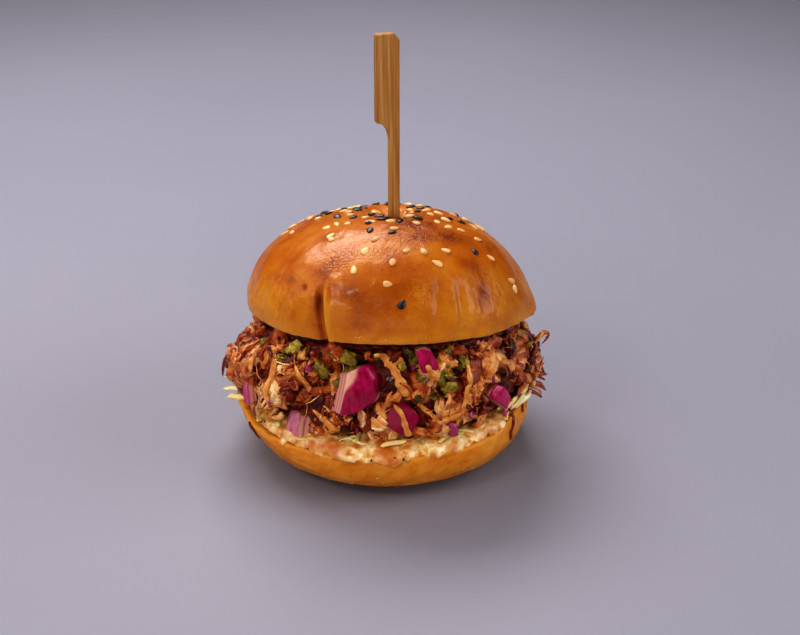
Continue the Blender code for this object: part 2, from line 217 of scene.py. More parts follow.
# Pickle at the front: azimuth, height, size, how far out and tone; then the rest of it: azimuths
# from and to, and how many
PICKLE_PLACES = (
    (-40, 49.5, 4.4, -0.7, 0.85), (-36, 48.5, 4.6, -0.8, 0.75), (-43, 48, 3.2, -0.8, 0.6),
    (-38, 45.5, 3.4, -0.9, 0.65), (-22, 49, 5.0, -0.8, 0.5), (-15, 50, 5.2, -0.6, 0.55),
    (-11, 46, 4.0, -1.0, 0.35), (-27, 45, 4.4, -1.0, 0.6), (-18, 41, 3.6, -0.8, 0.45),
    (15, 45, 5.0, -0.6, 0.45), (21, 43, 5.5, -0.6, 0.42), (25, 39.5, 5.0, -0.6, 0.62),
    (18, 38.5, 4.2, -0.8, 0.3), (27, 50, 4.6, -0.8, 0.5), (9, 52, 4.4, -1.0, 0.3),
    (-4, 52, 4.2, -1.2, 0.25), (34, 46, 4.2, -0.8, 0.75), (-53, 21.5, 4.2, 0.2, 0.8),
    (-56, 24, 3.2, 0.0, 0.55), (12, 37, 3.4, -1.0, 0.3),
)
PICKLE_SPREADS = ((-48, 42, 16), (48, 312, 34))

# Creamy orange sauce: (azimuth, height) knots, and the strand's width
DRIZZLES = (
    (((-50, 48), (-48, 42), (-48, 35), (-48, 29)), 3.0),
    (((-37, 45), (-34, 41), (-32, 36)), 2.2),
    (((-30, 31), (-25, 28), (-20, 25), (-16, 20.5)), 2.2),
    (((-36, 50), (-34, 46.5)), 2.6),
    (((-22, 52), (-20, 49)), 2.8),
    (((-5, 53.5), (-1, 51), (3, 46.5), (6, 42), (9, 37)), 3.2),
    (((14.5, 49), (17, 46.5), (19.5, 44.5)), 2.6),
    (((3, 35), (6, 31), (8, 26), (8, 20.5)), 2.0),
    (((22, 50), (26, 47), (29, 46)), 2.6),
    (((33, 47), (33, 41), (31, 34), (30, 27), (33, 22.5)), 1.9),
    (((12, 36), (17, 31), (22, 28), (30, 30)), 2.0),
    (((30, 29), (29, 26), (32, 23.5)), 1.4),
    (((50, 43), (54, 41), (58, 37)), 2.4),
    (((-70, 44), (-66, 38)), 2.0),
    (((100, 38), (106, 33), (108, 28)), 2.2),
    (((140, 33), (150, 29), (154, 25)), 2.0),
    (((-105, 38), (-112, 32), (-110, 26)), 2.2),
    (((-150, 32), (-158, 27)), 2.4),
    (((178, 31), (186, 27)), 2.0),
)

# Dark drips that run down the heap, the slaw and the bottom bun, in the same form
DRIPS = (
    (((-66, 22), (-63, 18.5), (-61, 14), (-60, 10.5)), 1.6),
    (((63, 24), (60, 18), (57, 11)), 1.3),
    (((72, 22), (70, 16)), 1.2),
    (((-56, 50), (-57, 45), (-56, 41)), 2.4),
    (((-8, 34), (-7, 29), (-9, 25)), 2.0),
    (((40, 34), (42, 29), (41, 25)), 2.0),
)

# Seeds at the front of the crown: azimuth, mm from the crown's axis. Then how many more of each
# colour there are, and over how much of the crown's 45 mm
WHITE_SEEDS = (
    (-16, 41), (-1, 43.6), (1, 39), (22, 39), (8.5, 35), (17, 35), (30, 34.5), (-13, 35), (-36, 32),
    (-38.5, 30.5), (-9, 30), (62, 32), (56, 38.5), (61.5, 44), (62, 45.2), (3, 24), (-50, 27),
    (-46, 24), (-39, 22), (24, 20), (50, 24), (58, 27), (48, 20), (-20, 19), (12, 12),
)
BLACK_SEEDS = (
    (4.5, 46), (-15, 25.5), (1, 26.4), (9, 18.7), (-20, 20), (-46, 17), (-60, 20), (-30, 12),
    (48, 36), (60, 10), (75, 20), (-80, 11),
)
MORE_WHITE, WHITE_SPREAD, MORE_BLACK, BLACK_SPREAD = 62, 0.8, 24, 0.55
SEED_SIZE = np.array((3.4, 2.2, 1.15)) * MM

# Softboxes: name, place, size, watts, colour and whether reflections show them
SOFTBOXES = (
    ("key", (-0.55, -0.04, 0.48), (0.70, 0.70), 1.6, (1.0, 0.97, 0.93), True),
    ("window", (-0.17, 0.40, 0.66), (0.60, 0.30), 5.0, (1, 1, 1), True),
    ("right", (0.58, -0.12, 0.36), (0.5, 0.5), 2.0, (1, 1, 1), True),
    ("glints", (-0.34, -0.42, 0.52), (0.12, 0.12), 0.6, (1, 1, 1), True),
    ("front_fill", (-0.20, -0.85, 0.16), (1.0, 0.6), 3.3, (1.0, 0.95, 0.89), False),
    ("front_shine", (-0.20, -0.85, 0.17), (1.0, 0.6), 1.1, (1.0, 0.95, 0.89), True),
)
LIT_POINT = Vector((0, 0, 0.05))
CAMERA_PLACE = (0.0042, -0.4737, 0.2695)
CAMERA_DOWN = math.radians(25.5)
FLOOR_REACH = 15.0


# ---------------------------------------------------------------------------------- small helpers


def smooth_step(low, high, value):
    part = np.clip((value - low) / (high - low), 0.0, 1.0)
    return part * part * (3 - 2 * part)


def fade(low, high, value):
    """1 below low, falling smoothly to 0 at high."""
    return 1 - smooth_step(low, high, value)


def bump_at(value, centre, width):
    return np.exp(-(((value - centre) / width) ** 2))


def turn_from(azimuth, centre_deg):
    """The angle from centre_deg to azimuth, within half a turn."""
    return np.angle(np.exp(1j * (azimuth - np.radians(centre_deg))))


def around(azimuth, centre_deg, width_deg):
    """1 at centre_deg, falling smoothly to nothing about twice width_deg away."""
    return np.exp(-((turn_from(azimuth, centre_deg) / np.radians(width_deg)) ** 2))


def swells(azimuth, *rows):
    """The sum of height * around(centre, width) over (height, centre, width) rows."""
    return sum(height * around(azimuth, centre, width) for height, centre, width in rows)


def grain(points, size, seed=0, octaves=3):
    """Smooth noise of about -1 to 1 with features about size mm across, at points (..., 3)."""
    shifted = points.reshape(-1, 3) / (size * MM) + np.array((11.3, 7.7, 3.1)) * (seed + 1)
    values = [noise.fractal(p, 1.0, 2.0, octaves) for p in shifted.tolist()]
    return np.array(values).reshape(points.shape[:-1])


def grains(points, *rows):
    """The sum of amount * grain over (amount, size, seed) rows, which may give octaves too."""
    return sum(amount * grain(points, *rest) for amount, *rest in rows)


def ridges(points, size, seed=0, octaves=3):
    """Like grain, but with sharp creases at 1."""
    return 1 - 2.4 * np.abs(grain(points, size, seed, octaves))


def blurred(values, rows, columns):
    """A map smoothed over that many grid steps; its columns wrap round."""
    for axis, spread in ((0, rows), (1, columns)):
        reach = int(3 * spread)
        if reach < 1:
            continue
        kernel = np.exp(-0.5 * (np.arange(-reach, reach + 1) / spread) ** 2)
        pad = [(0, 0), (0, 0)]
        pad[axis] = (reach, reach)
        padded = np.pad(values, pad, mode="wrap" if axis == 1 else "edge")
        count = values.shape[axis]
        steps = [np.take(padded, np.arange(count) + i, axis=axis) for i in range(len(kernel))]
        values = sum(k * step for k, step in zip(kernel / kernel.sum(), steps))
    return values


def sampled(grid, row, column):
    """A map read between its rows and columns, at arrays of places; its columns wrap round."""
    r0, c0 = np.minimum(row.astype(int), grid.shape[0] - 2), np.floor(column).astype(int)
    fr, fc = row - r0, column - c0
    c0, c1 = c0 % grid.shape[1], (c0 + 1) % grid.shape[1]
    low = grid[r0, c0] * (1 - fc) + grid[r0, c1] * fc
    high = grid[r0 + 1, c0] * (1 - fc) + grid[r0 + 1, c1] * fc
    return low * (1 - fr) + high * fr


def full_turn(count):
    return 2 * math.pi * np.arange(count) / count


def polar(azimuth, radius, height):
    """Points at those azimuths, radii and heights, as an array (..., 3)."""
    return np.stack(np.broadcast_arrays(radius * np.sin(azimuth), -radius * np.cos(azimuth), height), -1)


def transformed(points, matrix):
    m = np.array(matrix)
    return points @ m[:3, :3].T + m[:3, 3]


def unit(vectors):
    return vectors / np.maximum(np.linalg.norm(vectors, axis=-1, keepdims=True), 1e-12)


def tree_of(objects):
    points, faces = [], []
    for thing in objects:
        start = len(points)
        points += [tuple(v.co) for v in thing.data.vertices]
        faces += [[start + i for i in face.vertices] for face in thing.data.polygons]
    return BVHTree.FromPolygons(points, faces)


def cast_in(tree, azimuth, height):
    """What a ray from outside towards the axis meets: its point and its radius, or None twice."""
    way = Vector(polar(azimuth, 1.0, 0.0))
    spot, _normal, _index, distance = tree.ray_cast(OUTSIDE * way + Vector((0, 0, height)), -way)
    return (None, None) if spot is None else (np.array(spot), OUTSIDE - distance)


def add_piece(name, points, faces, finish, replaces=(), attributes=None):
    """A mesh piece on the sandwich's one body, with its material and point attributes."""
    points = np.asarray(points).reshape(-1, 3)
    mesh = bpy.data.meshes.new(name)
    mesh.from_pydata(points.tolist(), [], faces)
    mesh.shade_smooth()
    for key, values in (attributes or {}).items():
        values = np.asarray(values, np.float32)
        as_vectors = values.size == points.size
        layer = mesh.attributes.new(key, "FLOAT_VECTOR" if as_vectors else "FLOAT", "POINT")
        layer.data.foreach_set("vector" if as_vectors else "value", values.ravel())
    mesh.materials.append(finish)
    mesh.update()
    piece = bpy.data.objects.new(name, mesh)
    bpy.context.scene.collection.objects.link(piece)
    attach(piece, BODY)
    if replaces:
        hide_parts(*replaces)
    return piece


def ring_faces(rows, columns):
    """Quads between rings of points that run bottom to top, and a fan that closes each end on one
    more point each: first the bottom's, then the top's."""
    i = np.arange(columns)
    j = (i + 1) % columns
    faces = []
    for row in range(rows - 1):
        low, high = row * columns, (row + 1) * columns
        faces += np.stack((low + i, low + j, high + j, high + i), 1).tolist()
    bottom, top = rows * columns, rows * columns + 1
    last = (rows - 1) * columns
    faces += [[bottom, b, a] for a, b in zip(i.tolist(), j.tolist())]
    faces += [[top, last + a, last + b] for a, b in zip(i.tolist(), j.tolist())]
    return faces


def close_rings(rings, *maps):
    """The points of those rings with an end point for each fan, and each map drawn out to match."""
    points = np.concatenate((rings.reshape(-1, 3), rings[:1].mean(1), rings[-1:].mean(1)))
    flat = [np.concatenate((m.ravel(), [m[0].mean(), m[-1].mean()])) for m in maps]
    return points, flat


def ring_piece(name, rings, finish, slot, replaces=(), **maps):
    """A closed piece from rings (rows, columns, 3), bottom to top, with its maps as attributes."""
    points, flat = close_rings(rings, *maps.values())
    faces = ring_faces(*rings.shape[:2])
    return add_piece(name, points, faces, finish, replaces, dict(zip(maps, flat)))


def joined(parts):
    """Points, faces and tones of many (points, faces, tone or tones) parts as one mesh."""
    points, faces, tones = [], [], []
    start = 0
    for spots, one, shade in parts:
        points.append(spots)
        faces += [[start + i for i in face] for face in one]
        tones.append(np.broadcast_to(shade, len(spots)))
        start += len(spots)
    return np.concatenate(points), faces, np.concatenate(tones)


def tubes(paths, outward, half_width, half_height, sides, ridge=1.0, ragged=0.0):
    """Closed tubes along paths (count, steps, 3), and at each point its place in the grain, which
    changes slowly along a tube. Half sizes are (count, steps); ridge scales the points round each
    section and ragged moves them along the tube; both are (count, steps, sides)."""
    count, steps = paths.shape[:2]
    along = unit(np.gradient(paths, axis=1))
    across = unit(np.cross(outward, along))
    out = unit(np.cross(along, across))
    turn = full_turn(sides)
    side_way = half_width[..., None] * np.cos(turn) * ridge
    out_way = half_height[..., None] * np.sin(turn) * ridge
    along_way = np.broadcast_to(ragged, side_way.shape)
    rings = paths[:, :, None] + side_way[..., None] * across[:, :, None]
    rings = rings + out_way[..., None] * out[:, :, None] + along_way[..., None] * along[:, :, None]
    travel = np.cumsum(np.linalg.norm(np.diff(paths, axis=1, prepend=paths[:, :1]), axis=-1), 1)
    travel = np.repeat(travel[..., None], sides, 2) * GRAIN_STRETCH
    grain_place = np.stack((side_way, out_way, travel), -1)
    grain_place = grain_place + (np.arange(count) * 7.3 * MM)[:, None, None, None]
    points = np.concatenate((rings.reshape(count, -1, 3), paths[:, :1], paths[:, -1:]), 1)
    ends = grain_place[:, (0, -1), 0]
    grain_place = np.concatenate((grain_place.reshape(count, -1, 3), ends), 1)
    one = ring_faces(steps, sides)
    starts = np.arange(count)[:, None, None] * (steps * sides + 2)
    faces = []
    for corners in (4, 3):
        faces += (np.array([f for f in one if len(f) == corners]) + starts).reshape(-1, corners).tolist()
    return points.reshape(-1, 3), faces, grain_place.reshape(-1, 3)


def per_tube(values, steps, sides):
    """A value for each tube (count,) or section (count, steps), drawn out to the tubes' points."""
    values = np.asarray(values, float)
    if values.ndim == 1:
        values = np.repeat(values[:, None], steps, 1)
    body = np.repeat(values, sides, 1)
    return np.concatenate((body, values[:, :1], values[:, -1:]), 1).ravel()


def spline(knots, steps):
    """A smooth curve of that many points through the knots (n, k)."""
    knots = np.asarray(knots, float)
    padded = np.concatenate(([2 * knots[0] - knots[1]], knots, [2 * knots[-1] - knots[-2]]))
    spots = np.linspace(0, len(knots) - 1 - 1e-9, steps)
    i = spots.astype(int)
    t = (spots - i)[:, None]
    a, b, c, d = (padded[i + k] for k in range(4))
    return 0.5 * (2 * b + (c - a) * t + (2 * a - 5 * b + 4 * c - d) * t**2 + (3 * b - a - 3 * c + d) * t**3)


def bent_lines(heading, bend, length, steps):
    """Offsets sideways and upward (count, steps) along bent lines, from their middles. heading is
    0 sideways and 90 degrees upward, and bend turns a line along its way."""
    turn = heading[:, None] + bend[:, None] * np.linspace(-0.5, 0.5, steps)[None]
    step = length[:, None] / (steps - 1)
    offsets = [np.cumsum(way(turn) * step, 1) for way in (np.cos, np.sin)]
    return [offset - offset[:, steps // 2, None] for offset in offsets]


# -------------------------------------------------------------------------------------- materials


def tone(red, green, blue):
    """A colour given as 0-255 display values, as the linear colour that shaders take."""
    values = []
    for part in (red, green, blue):
        part /= 255
        values.append(part / 12.92 if part <= 0.04045 else ((part + 0.055) / 1.055) ** 2.4)
    return (*values, 1.0)


def grey(value):
    return (value, value, value, 1.0)


class Finish:
    """A Principled material and short ways to wire its nodes."""

    def __init__(self, name, **settings):
        self.material = bpy.data.materials.new(name)
        self.material.use_nodes = True
        self.tree = self.material.node_tree
        self.shader = self.tree.nodes["Principled BSDF"]
        self.place = self.node("ShaderNodeTexCoord").outputs["Object"]
        for key, value in settings.items():
            self.shader.inputs[key.replace("_", " ").title().replace("Ior", "IOR")].default_value = value

    def node(self, kind, **settings):
        made = self.tree.nodes.new(kind)
        for key, value in settings.items():
            setattr(made, key, value)
        return made

    def link(self, source, target):
        self.tree.links.new(source, target)

    def feed(self, sockets, values):
        """Links each value that is a socket and sets each one that is a constant."""
        for socket, value in zip(sockets, values):
            if isinstance(value, (int, float, tuple)):
                socket.default_value = value
            else:
                self.link(value, socket)

    def attribute(self, name, output="Fac"):
        return self.node("ShaderNodeAttribute", attribute_name=name).outputs[output]

    def noise(self, size, detail=4.0, stretch=(1, 1, 1), source=None):
        """Noise with features about size mm across, stretched along the axes of its place."""
        source = source or self.place
        if stretch != (1, 1, 1):
            mapping = self.node("ShaderNodeMapping")
            mapping.inputs["Scale"].default_value = stretch
            self.link(source, mapping.inputs["Vector"])
            source = mapping.outputs["Vector"]
        made = self.node("ShaderNodeTexNoise")
        made.inputs["Scale"].default_value = 1 / (size * MM)
        made.inputs["Detail"].default_value = detail
        self.link(source, made.inputs["Vector"])
        return made.outputs["Fac"]

    def cells(self, size):
        made = self.node("ShaderNodeTexVoronoi")
        made.inputs["Scale"].default_value = 1 / (size * MM)
        self.link(self.place, made.inputs["Vector"])
        return made.outputs["Distance"]

    def math(self, operation, first, second, clamp=False):
        made = self.node("ShaderNodeMath", operation=operation, use_clamp=clamp)
        self.feed(made.inputs, (first, second))
        return made.outputs["Value"]

    def weighted(self, start, *parts):
        """start plus (source, weight, middle) parts, each taken from its middle value, or from 0.5."""
        total = start
        for source, weight, *middle in parts:
            off = self.math("SUBTRACT", source, *(middle or (0.5,)))
            total = self.math("ADD", self.math("MULTIPLY", off, weight), total)
        return total

    def ramp(self, source, *stops):
        """A ramp through (position, linear colour) stops."""
        made = self.node("ShaderNodeValToRGB")
        elements = made.color_ramp.elements
        while len(elements) < len(stops):
            elements.new(0.5)
        for element, (position, colour) in zip(elements, stops):
            element.position = position
            element.color = colour
        self.link(source, made.inputs["Fac"])
        return made.outputs["Color"]

    def tones(self, source, *stops):
        """A ramp through (position, red, green, blue) stops in 0-255 display values."""
        return self.ramp(source, *((position, tone(*colour)) for position, *colour in stops))

    def mix(self, factor, first, second, blend="MIX"):
        made = self.node("ShaderNodeMix", data_type="RGBA", blend_type=blend)
        self.feed((made.inputs[0], made.inputs[6], made.inputs[7]), (factor, first, second))
        return made.outputs[2]

    def colour(self, source):
        self.link(source, self.shader.inputs["Base Color"])

    def surface(self, source, low, high, height, depth, strength):
        """Roughness from low to high as source goes from 0 to 1, a bump of that depth in mm from
        height, and the finished material."""
        made = self.node("ShaderNodeMapRange")
        made.inputs["To Min"].default_value = low
        made.inputs["To Max"].default_value = high
        self.link(source, made.inputs["Value"])
        self.link(made.outputs["Result"], self.shader.inputs["Roughness"])
        bump = self.node("ShaderNodeBump")
        bump.inputs["Distance"].default_value = depth * MM
        bump.inputs["Strength"].default_value = strength
        self.link(height, bump.inputs["Height"])
        self.link(bump.outputs["Normal"], self.shader.inputs["Normal"])
        self.link(bump.outputs["Normal"], self.shader.inputs["Coat Normal"])
        return self.material


def crust_finish(name, light, middle, dark, crumb, coat):
    """Baked crust: browned, with painted shade and painted highlight, by the brown attribute, blistered
    by blister, with crumb where the attribute crumb is 1."""
    made = Finish(name, coat_weight=coat, coat_roughness=0.12, specular_ior_level=0.15)
    fleck = made.noise(0.9, 6.0)
    cloud = made.noise(9)
    bubbles = made.math("SUBTRACT", made.noise(0.75, 3.0), 0.5)
    raised = made.math("MULTIPLY", made.attribute("blister"), bubbles)
    browned = made.weighted(made.attribute("brown"), (fleck, 0.22), (cloud, 0.30), (raised, -0.8, 0.0))
    skin = made.tones(browned, (0.0, *light), (0.42, *middle), (0.75, *dark), (1.0, 84, 32, 4))
    pores = made.ramp(made.cells(1.3), (0.02, grey(0.72)), (0.22, grey(1.0)))
    skin = made.mix(0.35, skin, pores, "MULTIPLY")
    inside = made.tones(made.noise(1.6, 5.0), (0.35, *crumb), (0.65, 240, 214, 164))
    made.colour(made.mix(made.attribute("crumb"), skin, inside))
    relief = made.weighted(0.0, (made.noise(0.5, 5.0), 1.0), (fleck, 0.8), (raised, 5.0, 0.0))
    return made.surface(made.noise(2.5), 0.32, 0.56, relief, 0.07, 0.7)


def pork_finish(name, roughness, coat, stranded):
    """Pulled pork from dark glazed bark to pale meat, by the attribute tone; stranded pieces have
    fine fibres along them."""
    made = Finish(name, coat_weight=coat, coat_roughness=0.07, specular_ior_level=0.2,
                  subsurface_weight=0.05, subsurface_radius=(0.002, 0.0008, 0.0004))
    strand = made.attribute("grain_place", "Vector") if stranded else None
    fibre, fine = made.noise(0.42, 5.0, source=strand), made.noise(0.2, 3.0, source=strand)
    patch = made.noise(3.2)
    meat = made.tones(
        made.weighted(made.attribute("tone"), (fibre, 0.75), (patch, 0.65)),
        (0.0, 52, 8, 0), (0.2, 112, 30, 4), (0.42, 168, 76, 22),
        (0.65, 208, 132, 62), (0.88, 232, 178, 116), (1.0, 244, 212, 164),
    )
    sauced = made.ramp(made.noise(5.0), (0.48, grey(0.0)), (0.6, grey(0.85)))
    made.colour(made.mix(sauced, meat, made.mix(0.7, meat, tone(124, 20, 2))))
    relief = made.weighted(0.0, (fibre, 1.0), (fine, 0.5))
    return made.surface(patch, roughness - 0.14, roughness + 0.12, relief, 0.24, 0.9)


def sauce_finish(name, deep, bright, roughness, coat):
    made = Finish(name, coat_weight=coat, coat_roughness=0.08, specular_ior_level=0.25,
                  subsurface_weight=0.08, subsurface_radius=(0.0015, 0.0005, 0.0002))
    made.colour(made.tones(made.noise(2.4), (0.32, *deep), (0.68, *bright)))
    smear, ripple = made.noise(1.2, 3.0), made.noise(1.0, 3.0)
    return made.surface(smear, roughness - 0.06, roughness + 0.1, ripple, 0.08, 0.6)


def cream_finish():
    """Slaw dressing, stained by sauce where the attribute stain is high."""
    made = Finish("slaw_cream", coat_weight=0.35, coat_roughness=0.12,
                  subsurface_weight=0.12, subsurface_radius=(0.003, 0.002, 0.001))
    mottle = made.noise(2.2, 5.0)
    cream = made.tones(
        mottle, (0.32, 186, 116, 40), (0.44, 220, 170, 94), (0.58, 240, 212, 158), (0.74, 252, 240, 212)
    )
    stain = made.weighted(made.attribute("stain"), (mottle, 0.6))
    made.colour(made.mix(made.math("MULTIPLY", stain, 1.0, True), cream, tone(192, 106, 16)))
    return made.surface(mottle, 0.25, 0.5, made.noise(1.1), 0.14, 0.7)


def cabbage_finish():
    made = Finish("cabbage", coat_weight=0.3, coat_roughness=0.15,
                  subsurface_weight=0.12, subsurface_radius=(0.002, 0.002, 0.001))
    vein = made.noise(0.7, source=made.attribute("grain_place", "Vector"))
    shade = made.weighted(made.attribute("tone"), (vein, 0.4), (made.noise(2.5, 3.0), 0.4))
    made.colour(made.tones(
        shade, (0.0, 244, 230, 190), (0.4, 234, 208, 146), (0.7, 212, 192, 108), (1.0, 164, 154, 66)
    ))
    return made.surface(vein, 0.25, 0.45, vein, 0.12, 0.7)


def onion_finish():
    """Red onion: a deep glossy skin where the attribute skin is 1, pale layered flesh elsewhere."""
    made = Finish("red_onion", coat_weight=0.3, coat_roughness=0.1, specular_ior_level=0.3,
                  subsurface_weight=0.06, subsurface_radius=(0.002, 0.001, 0.001))
    streak = made.noise(1.2, 4.0, (1.0, 1.0, 0.25))
    blush = made.weighted(made.attribute("pale"), (streak, 0.7, 0.45))
    skin = made.tones(
        blush, (0.0, 140, 0, 58), (0.25, 184, 14, 98), (0.5, 180, 74, 118), (1.0, 206, 158, 160)
    )
    layers = made.weighted(made.attribute("layer"), (streak, 0.45))
    flesh = made.tones(
        layers, (0.0, 216, 166, 144), (0.45, 198, 124, 124), (0.75, 172, 72, 110), (1.0, 144, 30, 92)
    )
    made.colour(made.mix(made.attribute("skin"), flesh, skin))
    return made.surface(streak, 0.2, 0.4, streak, 0.14, 0.7)


def pickle_finish():
    made = Finish("pickle", coat_weight=0.5, coat_roughness=0.08, specular_ior_level=0.25,
                  subsurface_weight=0.08, subsurface_radius=(0.002, 0.002, 0.0005))
    cloud = made.noise(1.4, 5.0)
    made.colour(made.tones(
        made.weighted(made.attribute("tone"), (cloud, 0.8), (made.noise(3.5, 3.0), 0.6)),
        (0.0, 40, 18, 4), (0.25, 82, 58, 12), (0.5, 120, 98, 26), (0.75, 160, 138, 48), (1.0, 208, 188, 96),
    ))
    return made.surface(cloud, 0.12, 0.34, cloud, 0.3, 0.9)


def speck_finish(name, light, dark, roughness):
    """Seeds, crumbs and other small bits, from dark to light by the attribute tone."""
    made = Finish(name, coat_weight=0.25, coat_roughness=0.2)
    shade = made.weighted(made.attribute("tone"), (made.noise(0.7, 3.0), 0.35))
    made.colour(made.tones(shade, (0.0, *dark), (1.0, *light)))
    return made.surface(made.noise(0.8), roughness - 0.08, roughness + 0.08, made.noise(0.35, 2.0), 0.03, 0.6)


def bamboo_finish():
    """Split bamboo: fine fibres and darker vessel flecks running up the pick."""
    made = Finish("bamboo_grain", specular_ior_level=0.35)
    fibre = made.noise(0.35, 5.0, (1.0, 1.0, 0.02))
    shade = made.weighted(0.5, (fibre, 0.9), (made.noise(1.4, 3.0, (1.0, 1.0, 0.03)), 0.8))
    made.colour(made.tones(
        shade, (0.1, 118, 74, 30), (0.38, 154, 106, 52), (0.62, 174, 130, 76), (0.9, 198, 162, 110)
    ))
    return made.surface(fibre, 0.5, 0.72, fibre, 0.08, 0.8)


def floor_finish():
    made = Finish("studio_floor", roughness=0.6, specular_ior_level=0.2)
    made.colour(made.tones(made.noise(350, 2.0), (0.3, 138, 135, 146), (0.7, 144, 141, 152)))
    return made.material


# --------------------------------------------------------------------------------- the bun's crust


def crust_shell(node, matrix, columns, rows, way):
    """The CAD node's outer skin on a fine grid, rim first, without the facets: maps of azimuth,
    elevation and reach from matrix's origin. way is 1 for a dome and -1 for a bowl."""
    tree = tree_of([frame["nodes"][node]])
    azimuth, elevation = full_turn(180), np.linspace(math.radians(0.15), math.pi / 2, 61)
    ways = polar(azimuth[None], np.cos(elevation)[:, None], way * np.sin(elevation)[:, None])
    ways = ways @ np.array(matrix)[:3, :3].T
    reach = np.zeros(ways.shape[:2])
    for spot in np.ndindex(*reach.shape):
        out = Vector(ways[spot])
        hit = tree.ray_cast(matrix.translation + 2 * OUTSIDE * out, -out)[3]
        reach[spot] = 2 * OUTSIDE - hit if hit else 0.0
    top = int(0.86 * len(elevation))  # above this ring the pick's slot may be in the way
    level = (reach[top] * math.sin(elevation[top])).mean()
    reach[top + 1 :] = level / np.sin(elevation[top + 1 :])[:, None]
    fine_azimuth, fine_elevation = full_turn(columns), np.linspace(elevation[0], math.pi / 2, rows)
    row = np.interp(fine_elevation, elevation, np.arange(len(elevation)))
    column = fine_azimuth / (2 * math.pi) * len(azimuth)
    reach = sampled(blurred(reach, 2.0, 1.5), row[:, None], column[None])
    azimuths, elevations = np.meshgrid(fine_azimuth, fine_elevation)
    return azimuths, elevations, blurred(reach, 0.02 * rows, 0.008 * columns)


def crown_blisters(az, height):
    """Little domes on the crown's crust, in mm."""
    rng = np.random.default_rng(11)
    radius, size, amount = 46 * MM, 0.55 * MM, 0.16
    total = np.zeros_like(height)
    for count, kind, azimuths, heights, scales in CROWN_BLISTERS:
        draw = getattr(rng, kind)
        for _ in range(count):
            centre, level, scale = draw(*azimuths), draw(*heights) * MM, rng.uniform(*scales)
            spread = ((turn_from(az, centre) * radius) ** 2 + (height - level) ** 2) / (size * scale) ** 2
            total += amount * scale * np.exp(-spread)
    return total


def crown_relief(az, spots, high, fold_at):
    """The crown's folds and lumps, in mm out, and of these its wrinkles and blisters."""
    fold = swells(az, (-1.7, fold_at, 1.2), (0.9, fold_at + 3.0, 1.1), (0.5, fold_at - 4.5, 2.8))
    crease = swells(az, (-0.6, 28.0, 1.4), (0.4, 25.4, 1.2), (0.4, 32.0, 2.2))
    crease = crease - 0.45 * around(az, 18.5 + 0.25 * (high - 12), 1.4)
    wrinkle = 0.0
    for centre, spread, level, tall, upright, size, seed, depth in CROWN_WRINKLES:
        ridge = ridges(spots * np.array((1, 1, upright)), size, seed) - 0.3
        wrinkle += depth * ridge * around(az, centre, spread) * bump_at(high, level, tall)
    blisters = crown_blisters(az, spots[..., 2])
    relief = fold * fade(13.5, 18.5, high) + crease * fade(10.0, 23.0, high) * smooth_step(1.5, 4.0, high)
    relief += wrinkle + blisters + grains(spots, (0.40, 13, 6), (0.09, 3.2, 7), (0.03, 0.9, 8))
    relief += 0.35 * grain(spots, 2.5, 9) * fade(0.0, 3.0, high)
    relief += 0.7 * around(az, -82, 20) * bump_at(high, 1.5, 4.0)
    relief += around(az, 78, 16) * bump_at(high, 0.5, 3.5)
    return relief, wrinkle, blisters


def crown_browning(az, spots, high, fold_at):
    """How brown the crown is, with painted shade and painted light, before its marks."""
    brown = 0.32 + grains(spots, (0.22, 16, 20), (0.10, 5, 21))
    # Browner towards the top; the darker band across the front, about 14 mm up, is painted shade
    brown += 0.04 * smooth_step(14.0, 33.0, high) + 0.20 * around(az, 0, 28) * bump_at(high, 14.0, 6.0)
    # Paler just above the rim; the lighter lower left side is painted light
    brown -= 0.18 * fade(0.5, 5.0, high) + 0.14 * fade(10.0, 23.0, high) * around(az, -70, 40)
    # Along the fold: darker in its groove and in a broad band left of it, painted shade, and lighter on its
    # ridge, a painted highlight
    for amount, off, width, low, top in (
        (0.42, -0.6, 1.6, 12, 17),
        (0.16, -3.0, 2.0, 9, 15),
        (-0.35, 3.0, 1.3, 13, 17),
    ):
        brown += amount * around(az, fold_at + off, width) * fade(low, top, high)
    return brown


